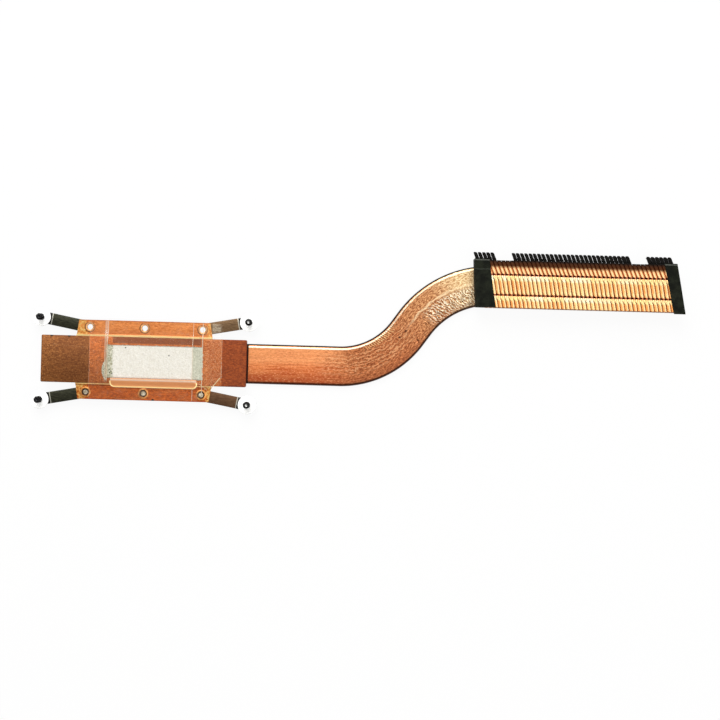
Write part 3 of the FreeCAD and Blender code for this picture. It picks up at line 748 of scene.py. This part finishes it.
def pipePlace(along, around):
    distance = along * routeLength
    across, up = pipeSection(around)
    x, y, heading = alongPipe(distance)
    if up > 0.0:
        up -= pipeDip(distance, across) * min(1.0, 2.0 * up / pipe["height"])
    pinched = 1.0 - ramp(min(distance, routeLength - distance), 0.0, pipe["pinch"])
    across *= 1.0 - 0.3 * pinched
    up *= 1.0 - 0.45 * pinched
    return (x - across * math.sin(heading), y + across * math.cos(heading), pipe["middle"] + up)


def pipeUnroll(along, around):
    across, up = pipeSection(around)
    return (along * routeLength / 100.0, across / 100.0)


def pipeLook():
    look = Look("pipeCopper", shade(225, 130, 76), 0.72, 0.34)
    place = look.unrolled()
    u, v, w = look.split(place)
    streak = look.clouds(place, 0.9, (0.1, 2.0, 1.0), 4.0, 0.62)
    fine = look.clouds(place, 2.0, (0.6, 1.3, 1.0), 3.0, 0.75)
    wander = look.clouds(place, 0.4, (1.0, 1.4, 1.0), 3.0, 0.6) - 0.5
    straight = look.mix(streak.rise(0.38, 0.62), shade(202, 93, 44), shade(238, 143, 83))
    # painted light: the straight run is lighter over its upper half and darker over its lower half
    straight = look.mix(v.rise(-0.9, 1.6) * 0.6, straight, shade(255, 175, 114))
    straight = look.mix(v.near(2.8, 0.5) * 0.4, straight, shade(232, 138, 80))
    straight = look.mix(v.fall(-4.8, -0.5) * 0.75, straight, shade(160, 64, 26))
    straight = look.mix(fine.rise(0.52, 0.66) * 0.45, straight, shade(255, 190, 132))
    straight = look.mix(fine.fall(0.38, 0.48) * 0.35, straight, shade(168, 74, 32))
    firstTone = look.mix(fine.rise(0.4, 0.62), shade(126, 62, 28), shade(206, 126, 76))
    secondTone = look.mix(fine.rise(0.4, 0.62), shade(140, 78, 38), shade(226, 166, 112))
    endTone = look.mix(fine.rise(0.4, 0.62), shade(190, 143, 92), shade(255, 230, 180))
    colour = look.mix((u + wander * 12.0).rise(bendOne - 9.0, bendOne + 8.0), straight, firstTone)
    colour = look.mix((u + wander * 8.0).rise(bendOneEnd - 6.0, bendTwo + 8.0), colour, secondTone)
    colour = look.mix((u + wander * 6.0).rise(bendTwo + 8.0, bendTwo + 19.0), colour, endTone)
    # painted highlights on the lengthwise ridges and painted shade in the furrows between them in the first bend, one
    # painted highlight along a ridge in the second with painted shade beside it
    ridges = (v * 0.9 + wander * 3.0 + u * 0.03).fraction().near(0.5, 0.24) * v.band(-2.6, 3.4, 0.8)
    ridges = ridges * u.band(bendOne - 6.0, bendOneEnd + 2.0, 3.0)
    colour = look.mix(ridges * 0.5, colour, shade(240, 180, 128))
    furrows = (v * 0.9 + wander * 3.0 + u * 0.03).fraction().near(0.12, 0.2) * v.band(-2.6, 3.4, 0.8)
    furrows = furrows * u.band(bendOne - 6.0, bendOneEnd + 2.0, 3.0)
    colour = look.mix(furrows * 0.3, colour, shade(112, 54, 26))
    ridge = (v - 0.9 + wander * 1.6).near(0.0, 0.5) * u.rise(bendOneEnd, bendTwo + 4.0)
    colour = look.mix(ridge * 0.55, colour, shade(255, 230, 186))
    trough = (v - 0.2 + wander * 1.6).near(0.0, 0.4) * u.rise(bendOneEnd, bendTwo + 4.0)
    colour = look.mix(trough * 0.5, colour, shade(140, 82, 44))
    # painted highlights and painted shade on the wrinkles inside both bends
    scatter = look.clouds(place, 1.1, (1.0, 1.0, 1.0), 3.0, 0.6) - 0.5
    upperWave = (u * 1.2 + v * 0.6 + scatter * 1.6).fraction()
    upperZone = (v + wander * 2.0).band(3.5, 5.2, 0.3) * u.band(bendOne + 10.0, bendOneEnd - 1.0, 3.0)
    colour = look.mix(upperWave.near(0.5, 0.26) * upperZone * 0.9, colour, shade(255, 214, 150))
    colour = look.mix(upperWave.near(0.1, 0.24) * upperZone * 0.5, colour, shade(128, 68, 34))
    lowerWave = (u * 0.95 + v * 0.62 + wander * 3.4 + scatter * 1.3).fraction()
    lowerZone = (v + scatter * 1.5).band(-5.2, 0.0, 0.6) * u.rise(bendTwo + 2.0, bendTwo + 7.0)
    colour = look.mix(lowerWave.near(0.55, 0.26) * lowerZone, colour, shade(255, 242, 212))
    colour = look.mix(lowerWave.near(0.15, 0.26) * lowerZone * 0.9, colour, shade(122, 68, 34))
    # painted shade in two pits near the end of the first bend
    for pitX, pitY in ((bendOneEnd - 2.35, 1.04), (bendOneEnd + 0.4, 0.77)):
        colour = look.mix(distanceTo(u, v, pitX, pitY).fall(0.2, 0.5) * 0.9, colour, shade(70, 30, 16))
    # painted highlight along the crest above, painted shade below, dark painted lines along both rounded rims and a
    # painted shadow where the plate ends
    lowShade = v.fall(-5.3, -3.0) * u.rise(bendOne - 4.0, bendOne + 6.0)
    colour = look.mix(lowShade * 0.35, colour, shade(120, 62, 34))
    crestHighlight = v.near(5.05, 0.36) * (1.0 - u.rise(bendOne + 4.0, bendOneEnd - 4.0) * 0.4)
    colour = look.mix(crestHighlight * 0.95, colour, shade(255, 246, 216))
    colour = look.mix(v.rise(5.4, 5.58), colour, shade(34, 24, 16))
    colour = look.mix(v.fall(-5.6, -5.05) * 0.95, colour, shade(62, 28, 12))
    colour = look.mix(u.band(58.2, 58.95, 0.12), colour, shade(24, 14, 10))
    look.feed("Base Color", colour)
    look.feed("Roughness", fine * 0.3 + 0.2)
    look.bump(fine * 0.7 + streak * 0.3, 0.05)
    return look


def makePipe():
    shape = wrapGrid(pipe["columns"], pipe["around"], pipePlace, pipeUnroll)
    bmesh.ops.remove_doubles(shape, verts=shape.verts, dist=0.002)
    rims = [edge for edge in shape.edges if edge.is_boundary]
    bmesh.ops.holes_fill(shape, edges=rims, sides=0)
    bmesh.ops.recalc_face_normals(shape, faces=shape.faces)
    addPiece("heatPipe", shape, pipeLook(), replaced=["heat_pipe"], soften=60.0)


makePipe()
print("heat pipe")

# Fins: folded sheets at the stack's pitch, painted black at the outlet

fins = {
    "first": 98.6, "pitch": 1.245, "count": 47, "low": -2.0, "high": 3.0, "sheet": 0.25, "gap": 0.06, "inlet": 18.65,
    "knee": 28.52, "outlet": 33.0, "shear": 1.75, "outletShear": 1.75, "tooth": 1.9, "toothLip": 1.13,
    "setback": 0.4, "bare": ((5, 8), (37, 40)), "foldRadius": 0.2, "perPiece": 12, "windowReach": 0.7,
    "tongues": ((20.95, 22.1), (27.0, 28.1)), "windows": ((22.22, 22.62), (28.2, 28.6))}
finNodes = ["fin_first", "fin_notched", "fins_left", "fins_notch_left", "fins_middle", "fins_notch_right", "fins_right"]


def finShift(y):
    f = fins
    if y > f["knee"]:
        return -f["outletShear"] * (y - f["knee"]) / (f["outlet"] - f["knee"])
    return f["shear"] * (f["knee"] - y) / (f["knee"] - f["inlet"])


def finLook():
    look = Look("finCopper", shade(240, 170, 100), 0.62, 0.36, {"Emission Strength": 0.6})
    place = look.millimetres()
    x, y, z = look.split(place)
    f = fins
    outer = (y - f["knee"]).most(0.0) * (f["outletShear"] / (f["outlet"] - f["knee"]))
    inner = (f["knee"] - y).most(0.0) * (f["shear"] / (f["knee"] - f["inlet"]))
    number = (x + outer - inner - (f["first"] + f["outletShear"])) / f["pitch"]
    phase = number.fraction()
    each = look.chance(number.floor())
    grain = look.clouds(place, 1.2, (1.4, 0.8, 1.0), 4.0, 0.65)
    cloud = look.clouds(place, 0.12, (1.0, 0.6, 1.0), 2.0, 0.5)
    warm = ((cloud + each * 0.2).rise(0.45, 0.85) + x.rise(134.0, 156.0) * 0.6 + x.fall(104.0, 99.0) * 0.3).least(1.0)
    striped = look.mix(warm, shade(255, 212, 140), shade(242, 160, 84))
    # painted highlight across one side of each lip, painted shade along the seams between lips
    striped = look.mix(phase.band(0.6, 0.9, 0.12) * 0.7, striped, shade(255, 238, 184))
    seamShade = phase.near(0.0, 0.32).most(phase.near(1.0, 0.24))
    striped = look.mix(seamShade * 0.8, striped, shade(208, 112, 50))
    # painted highlight: the pale colour of the bands over the tongue rows
    pale = look.mix(warm, shade(255, 252, 222), shade(255, 222, 150))
    pale = look.mix(phase.near(0.3, 0.2) * 0.5, pale, shade(236, 176, 104))
    pale = look.mix(seamShade * 0.45, pale, shade(236, 160, 96))
    line = y + (grain - 0.5) * 0.5
    paleBand = line.band(26.6, 28.2, 0.35).most(line.band(20.75, 22.15, 0.3))
    colour = look.mix(paleBand, striped, pale)
    # painted highlight on the curved end of each tongue
    hookHighlight = line.band(22.85, 23.95, 0.4) * phase.near(0.55, 0.4)
    colour = look.mix(hookHighlight * 0.6, colour, shade(255, 226, 160))
    # painted shadow: a faint darker row just under each row of windows
    faintShadow = line.near(21.95, 0.32).most(line.near(27.85, 0.3)) * phase.near(0.3, 0.2)
    colour = look.mix(faintShadow * 0.45, colour, shade(216, 140, 70))
    # slanted strokes along the folds above the knee: lighter mid-lip as painted highlight, darker at the seams as
    # painted shade
    strokes = look.mix(phase.near(0.5, 0.34), shade(232, 144, 82), shade(255, 222, 164))
    strokes = look.mix(seamShade * 0.6, strokes, shade(204, 108, 54))
    colour = look.mix(y.rise(28.55, 28.8), colour, strokes)
    row = y.near(28.4, 0.44).most(y.near(22.42, 0.44))
    dash = phase.near(0.02, 0.6).most(phase.near(1.0, 0.45)).rise(0.4, 0.6)
    colour = look.mix(row.rise(0.1, 0.5) * (1.0 - dash) * 0.9, colour, shade(188, 72, 30))
    # painted shade: the windows in each row are painted dark red inside
    dots = row.rise(0.1, 0.45) * dash
    colour = look.mix(dots, colour, shade(92, 20, 6))
    # painted shade: the blade faces down in the slots, under the lips, are darkened
    deep = z.fall(2.55, 2.8) * z.rise(-1.75, -1.5)
    colour = look.mix(deep * 0.85, colour, look.mix(dots, shade(150, 72, 30), shade(84, 18, 6)))
    colour = look.mix(z.fall(-1.7, -1.5) * 0.5, colour, shade(206, 122, 70))
    spray = (look.clouds(place, 2.2, (1.0, 1.0, 1.0), 4.0, 0.7) - 0.5) * 0.9
    mist = (y + spray).rise(29.9, 31.2)
    colour = look.mix(mist * 0.97, colour, look.mix(grain, shade(52, 22, 8), shade(92, 44, 18)))
    paint = (y + (grain - 0.5) * 0.6).rise(31.4, 32.8)
    colour = look.mix(paint, colour, look.mix(grain, shade(12, 11, 10), shade(32, 30, 28)))
    # light thrown from fin to fin keeps the slots warm
    glow = z.fall(2.6, 2.85) * z.rise(1.7, 2.4) * y.rise(18.8, 19.4) * (1.0 - mist) * (1.0 - dots)
    look.feed("Emission Color", look.mix(glow, shade(0, 0, 0), shade(206, 106, 48)))
    look.feed("Base Color", colour)
    look.feed("Metallic", mist * 0.3 + 0.62)
    look.feed("Roughness", grain * 0.25 + 0.24 + mist * 0.3)
    look.bump(grain, 0.02)
    return look


def finProfile():
    # the fin's outer line from the tip of the lower lip, round both folds, to the tip of the upper lip
    f = fins
    r = f["foldRadius"]
    reach = f["pitch"] - f["gap"]
    points = [(-reach, f["low"]), (-reach * 0.5, f["low"])]
    for step in range(4):
        angle = math.radians(-90 + 30 * step)
        points.append((-r + r * math.cos(angle), f["low"] + r + r * math.sin(angle)))
    points.append((0.0, 0.5))
    for step in range(5):
        angle = math.radians(22.5 * step)
        points.append((-r + r * math.cos(angle), f["high"] - r + r * math.sin(angle)))
    points += [(-reach * 0.62, f["high"] - 0.015), (-reach * 0.8, f["high"] - 0.03), (-reach, f["high"] - 0.045)]
    return points


def toothProfile():
    # the blade up to its fold and the upper lip, from below
    f = fins
    r = f["foldRadius"]
    points = [(0.0, f["low"] + 0.1), (0.0, 0.5)]
    for step in range(5):
        angle = math.radians(22.5 * step)
        points.append((-r + r * math.cos(angle), f["high"] - 0.1 - r + r * math.sin(angle)))
    points += [(-f["toothLip"] * 0.75, f["high"] - 0.11), (-f["toothLip"], f["high"] - 0.22)]
    return points


def makeFin(number):
    f = fins
    bare = any(low <= number <= high for low, high in f["bare"])
    outlet = f["outlet"] - (f["setback"] if bare else 0.0)
    marks = [f["inlet"], f["inlet"] + 0.3, 20.4, 24.0, 25.5, 26.6, f["knee"], 29.6, 30.6, 31.6, outlet]
    for low, high in f["tongues"] + f["windows"]:
        marks += [low - 0.03, low + 0.03, high - 0.03, high + 0.03]
    marks = sorted(mark for mark in set(marks) if mark <= outlet)
    profile = finProfile()
    tip = len(profile) - 1
    base = f["first"] + f["outletShear"] + number * f["pitch"]
    sway = random.Random(400 + number).uniform(-0.035, 0.035)

    def place(along, around):
        y = marks[round(along * (len(marks) - 1))]
        spot = round(around * tip)
        x, z = profile[spot]
        inWindow = any(low <= y <= high for low, high in f["windows"])
        onTongue = number > 0 and any(low <= y <= high for low, high in f["tongues"])
        if inWindow:
            x = max(x, f["windowReach"] - f["pitch"])
        if spot == tip and onTongue:
            x -= 0.3
            z += 0.05
        if spot >= tip - 1 and onTongue:
            z += 0.04
        return (base + finShift(y) + x + sway * (z + 2.0) / 5.0, y, z)

    shape = wrapGrid(len(marks) - 1, tip, place)
    if not bare:  # the tooth goes on from the blade alone
        tooth = toothProfile()
        end = f["outlet"] + f["tooth"]
        rows = [(f["outlet"] - 0.1, -0.07), (f["outlet"] + 0.3, -0.07), (f["outlet"] + 0.42, 0.0), (end - 0.5, 0.0)]
        rows += [(end - 0.22, 0.1), (end - 0.06, 0.28), (end, 0.5)]

        def toothPlace(along, around):
            y, cut = rows[round(along * (len(rows) - 1))]
            x, z = tooth[round(around * (len(tooth) - 1))]
            x = -f["toothLip"] * 0.5 + (x + f["toothLip"] * 0.5) * (1.0 - cut)
            z = 0.5 + (z - 0.5) * (1.0 - 0.3 * cut)
            return (base + finShift(y) + x + sway * (z + 2.0) / 5.0, y, z)

        shape = joined(shape, wrapGrid(len(rows) - 1, len(tooth) - 1, toothPlace))
    return shape


def makeStack():
    look = finLook()
    for group in range(0, fins["count"], fins["perPiece"]):
        shape = bmesh.new()
        for number in range(group, min(group + fins["perPiece"], fins["count"])):
            shape = joined(shape, makeFin(number))
        label = "fins_%d" % (group // fins["perPiece"] + 1)
        piece = addPiece(label, shape, look, soften=50.0, replaced=finNodes if group == 0 else ())
        wall = piece.modifiers.new("sheet", "SOLIDIFY")
        wall.thickness = fins["sheet"] * mm * 0.9
        wall.offset = -1.0


makeStack()
print("fin stack")

# Foam strips round both ends of the stack

foam = {
    "low": -2.0, "top": 3.0, "cover": 3.42, "corner": 0.16,
    "leftFlap": ((97.2, 32.95), (101.6, 33.0), (102.6, 26.0), (103.8, 18.65), (98.1, 18.65), (97.55, 26.0)),
    "leftWall": ((97.2, 32.95), (97.4, 32.95), (99.1, 28.52), (100.85, 18.7), (98.1, 18.7), (97.55, 26.0)),
    "rightFlap": ((153.2, 33.0), (157.0, 33.0), (158.35, 26.0), (159.8, 18.15), (156.35, 18.15), (155.15, 24.0)),
    "rightWall": ((155.9, 32.95), (157.0, 33.0), (158.35, 26.0), (159.8, 18.7), (159.4, 18.7), (157.65, 28.52))}


def foamLook():
    look = Look("blackFoam", shade(34, 37, 33), 0.0, 0.78, {"Specular IOR Level": 0.12})
    place = look.millimetres()
    x, y, z = look.split(place)
    pores = look.cells(place, 3.4)
    cloth = look.clouds(place, 0.5, (1.0, 1.0, 1.0), 4.0, 0.6)
    colour = look.mix(cloth.rise(0.35, 0.7), shade(15, 17, 11), shade(34, 37, 27))
    colour = look.mix(pores.fall(0.05, 0.3) * 0.5, colour, shade(14, 15, 13))
    # painted highlight along the fold of the tape over the outlet edge
    colour = look.mix(y.near(32.6, 0.26) * 0.5, colour, shade(128, 130, 122))
    # painted highlight along a crease across the left strip
    crease = (y + (look.clouds(place, 0.6) - 0.5) * 0.5).near(29.9, 0.2) * x.fall(120.0, 125.0)
    colour = look.mix(crease * 0.4, colour, shade(84, 88, 80))
    look.feed("Base Color", colour)
    look.feed("Roughness", cloth * 0.2 + 0.68)
    look.bump(pores * 0.5 + cloth * 0.5, 0.06)
    return look


def foamBlock(corners, low, high, soft):
    shape = bmesh.new()
    face = shape.faces.new([shape.verts.new((x, y, low)) for x, y in corners])
    grown = bmesh.ops.extrude_face_region(shape, geom=[face])
    raised = [item for item in grown["geom"] if isinstance(item, bmesh.types.BMVert)]
    bmesh.ops.translate(shape, verts=raised, vec=(0, 0, high - low))
    bmesh.ops.recalc_face_normals(shape, faces=shape.faces)
    roundEdges(shape, soft, 40.0, 3)
    bmesh.ops.triangulate(shape, faces=[face for face in shape.faces if len(face.verts) > 4])
    bmesh.ops.subdivide_edges(
        shape, edges=[edge for edge in shape.edges if edge.calc_length() > 1.2], cuts=3, use_grid_fill=True)
    for vert in shape.verts:
        if vert.co.z > high - 0.05:
            vert.co.z -= 0.05 + 0.05 * rough(vert.co.x * 0.9, vert.co.y * 0.7, 5.0)
    return shape


def makeFoam():
    look = foamLook()
    for side in ("left", "right"):
        shape = foamBlock(foam[side + "Wall"], foam["low"], foam["top"] - 0.02, 0.08)
        shape = joined(shape, foamBlock(foam[side + "Flap"], foam["top"], foam["cover"], foam["corner"]))
        strip = addPiece("foamStrip_" + side, shape, look, replaced=["foam_" + side], soften=60.0)


makeFoam()
print("foam strips")

# Thermal paste: a squeezed-out layer with a ragged rim, and a greyer strip at its right end

paste = {
    "left": -11.3, "right": 17.65, "low": -5.4, "high": 4.65, "height": 0.16, "rim": 0.28, "columns": 240, "rows": 90,
    "smearLow": -6.2, "smearHigh": 0.3, "smearX": -10.9, "smearWidth": 1.5,
    "spots": ((-10.1, -2.8), (-9.6, -3.3), (-9.3, -4.0), (-10.0, -3.8), (-5.4, 3.8), (7.5, 1.75))}


def pasteLook():
    look = Look("thermalPaste", shade(230, 227, 216), 0.0, 0.7)
    place = look.millimetres()
    x, y, z = look.split(place)
    clots = look.clouds(place, 2.4, (1.0, 1.0, 1.0), 4.0, 0.7)
    pits = look.cells(place, 2.4).fall(0.02, 0.16)
    colour = look.mix(clots.rise(0.3, 0.7), shade(226, 222, 209), shade(244, 242, 234))
    # painted shade: the pits are a little greyer
    colour = look.mix(pits * 0.3, colour, shade(180, 180, 164))
    grey = look.mix(clots.rise(0.3, 0.7), shade(172, 174, 150), shade(214, 214, 194))
    colour = look.mix((x + (clots - 0.5) * 0.4).rise(14.4, 14.65) * 0.9, colour, grey)
    leftEdge = (x + (clots - 0.5) * 1.2).fall(-9.5, -8.9)
    colour = look.mix(leftEdge * 0.9, colour, look.mix(clots.rise(0.42, 0.6), shade(140, 142, 106), shade(216, 214, 194)))
    # painted shadow along the paste's upper edge
    edge = (y + (clots - 0.5) * 0.6).rise(4.15, 4.45)
    colour = look.mix(edge * 0.7, colour, shade(138, 130, 108))
    edges = y.rise(4.35, 4.5).most(y.fall(-5.3, -5.1)).most(x.fall(-11.1, -10.9) * 0.5)
    flecks = look.clouds(place, 3.4, (1.0, 1.0, 1.0), 3.0, 0.7).rise(0.46, 0.58) * edges
    colour = look.mix(flecks * 0.75, colour, shade(78, 74, 58))
    for spotX, spotY in paste["spots"]:
        colour = look.mix(distanceTo(x, y, spotX, spotY).fall(0.12, 0.26), colour, shade(44, 44, 36))
    look.feed("Base Color", colour)
    look.bump(clots * 0.6 - pits * 0.4, 0.045)
    return look


def pastePlace(along, up):
    p = paste
    x = p["left"] + (p["right"] - p["left"]) * along
    y = p["low"] + (p["high"] - p["low"]) * up
    edge = min(x - p["left"], p["right"] - x, y - p["low"], p["high"] - y)
    ragged = p["rim"] * (0.5 + 0.5 * rough(x * 0.9, y * 0.9, 2.0))
    lumps = 0.05 * rough(x * 0.55, y * 0.55, 7.0) + 0.03 * rough(x * 2.0, y * 2.0, 8.0)
    fade = max(0.0, min(1.0, (edge - ragged) / 0.3))
    return (x, y, 0.004 + math.sqrt(fade) * (p["height"] + lumps))


def smearPlace(along, up):
    # paste pressed out against the film at the left
    p = paste
    y = p["smearLow"] + (p["smearHigh"] - p["smearLow"]) * up
    bulge = math.sin(math.pi * up) ** 0.6
    x = p["smearX"] - p["smearWidth"] * along * bulge
    z = 0.01 + 0.12 * math.sin(math.pi * along) * bulge
    return (x, y + 0.15 * rough(y, 4.0, 1.0), z)


def makePaste():
    p = paste
    shape = wrapGrid(p["columns"], p["rows"], pastePlace)
    bare = [face for face in shape.faces if all(vert.co.z < 0.0041 for vert in face.verts)]
    bmesh.ops.delete(shape, geom=bare, context="FACES")
    shape = joined(shape, wrapGrid(16, 40, smearPlace))
    addPiece("pasteLayer", shape, pasteLook(), replaced=["thermal_paste"], soften=0.0)


makePaste()
print("thermal paste")

# Clear film: a creased sheet over plate and rails, raised to a pocket over the paste

film = {
    "left": -16.2, "right": 23.25, "low": -11.5, "high": 11.6, "sheet": 0.05, "lift": 0.1,
    "pocketLeft": (-11.6, -10.6), "pocketRight": (14.6, 17.3), "pocketLow": (-7.8, -5.5), "pocketHigh": (5.0, 7.0),
    "pocketHeight": 0.95, "columns": 260, "rows": 160}


def filmPlace(along, up):
    f = film
    x = f["left"] + (f["right"] - f["left"]) * along
    y = f["low"] + (f["high"] - f["low"]) * up
    inside = min(
        ramp(x, *f["pocketLeft"]), 1.0 - ramp(x, *f["pocketRight"]), ramp(y, *f["pocketLow"]),
        1.0 - ramp(y, *f["pocketHigh"]))
    height = f["lift"] + (f["pocketHeight"] - f["lift"]) * inside
    if abs(y) > 7.3 and inside <= 0.0:
        height = max(-0.55, f["lift"] - (abs(y) - 7.3) * 0.45)
    height += 0.04 * rough(x * 0.5, y * 0.5, 12.0) * (1.0 - 0.5 * inside)
    return (x, y, height)


def filmLook():
    look = Look("clearFilm", shade(250, 250, 246), 0.0, 0.12, {"Emission Strength": 0.4})
    place = look.millimetres()
    x, y, z = look.split(place)
    f = film
    wander = (look.clouds(place, 0.5) - 0.5) * 0.25
    # the folds, rims and cut edges of the clear sheet show as pale tinted lines: painted highlights
    leftFold = (x + wander * 0.4).near(-10.75, 0.16).most((x + wander * 0.4).near(-11.6, 0.12) * 0.7)
    leftFold = leftFold.most(x.band(-11.6, -10.75, 0.08) * 0.4) * y.rise(-7.0, -5.0)
    rightFold = (x + wander * 0.3).near(14.55, 0.13)
    rightFoot = (x + wander * 0.5).near(17.4, 0.2)
    lines = (leftFold * 0.55).most(rightFold * 0.45).most(rightFoot * 0.5)
    rim = x.fall(-16.2, -16.0) * 0.4 + x.rise(23.0, 23.2) * y.fall(7.0, 7.4) * look.clouds(place, 1.5).rise(0.35, 0.6)
    # the lower wall of the pocket, a bright rounded bar of painted reflection, with a painted highlight on its crown
    # and a painted glint at its foot
    sideways = ((x - 3.1).size() - 11.6).most(0.0)
    below = (-6.6 - y).most(0.0)
    bar = (sideways * sideways + below * below).root()
    lowWall = bar.fall(1.1, 1.2) * y.fall(-5.35, -5.2)
    crownHighlight = y.near(-5.75, 0.5) * lowWall
    glint = bar.near(1.22, 0.32) * y.fall(-6.4, -5.8)
    torn = look.clouds(place, 0.9, (0.4, 1.6, 1.0), 4.0, 0.7)
    flaps = x.rise(20.0, 20.4) * (y - x * 0.19).rise(4.85, 5.1) * torn.rise(0.35, 0.6) * x.fall(22.4, 22.9)
    slant = ((x - 20.4) * 0.784 - (y + 7.72) * 0.62).near(-0.16, 0.2) * y.fall(-4.6, -4.2) * x.rise(20.0, 20.4)
    fold = (x * 0.6 + y * 0.8 - 4.9).near(0.0, 0.14) * y.fall(-6.6, -6.2) * x.rise(15.6, 16.0)
    lines = lines.most(rim * 0.35).most(glint * 0.95).most(lowWall * 0.78).most(flaps * 0.6)
    lines = lines.most(slant * 0.75).most(fold * 0.6)
    # a faint white mottle over the whole sheet, partly haze of the film and partly painted sheen
    haze = look.clouds(place, 0.7, (1.0, 1.0, 1.0), 4.0, 0.6).rise(0.5, 0.8) * 0.05
    look.feed("Alpha", (lines + haze + 0.015).least(0.9))
    tint = look.mix(lowWall, shade(252, 230, 200), shade(252, 172, 112))
    tint = look.mix(crownHighlight * 0.9, tint, shade(255, 230, 204))
    tint = look.mix(glint, tint, shade(255, 240, 180))
    tint = look.mix(flaps, tint, shade(186, 172, 146))
    tint = look.mix(slant.most(fold), tint, shade(255, 224, 164))
    look.feed("Base Color", tint)
    # the painted glint also glows
    look.feed("Emission Color", look.mix(glint, shade(0, 0, 0), shade(255, 206, 110)))
    look.bump(look.clouds(place, 0.4, (1.0, 1.0, 1.0), 2.0, 0.5), 0.06)
    return look


def makeFilm():
    f = film
    shape = wrapGrid(f["columns"], f["rows"], filmPlace)
    away = []
    for face in shape.faces:
        spot = face.calc_center_median()
        overRail = spot.y < -8.0 and spot.x > 16.2 + (spot.y + 11.2) * 0.59
        cutCorner = spot.y < -4.6 and spot.x > 20.4 + (spot.y + 7.7) * 0.8
        if overRail or cutCorner:
            away.append(face)
    bmesh.ops.delete(shape, geom=away, context="FACES")
    piece = addPiece("clearFilm", shape, filmLook(), replaced=["clear_cover"], soften=0.0)
    wall = piece.modifiers.new("sheet", "SOLIDIFY")
    wall.thickness = f["sheet"] * mm
    wall.offset = 0.0


makeFilm()
print("clear film")
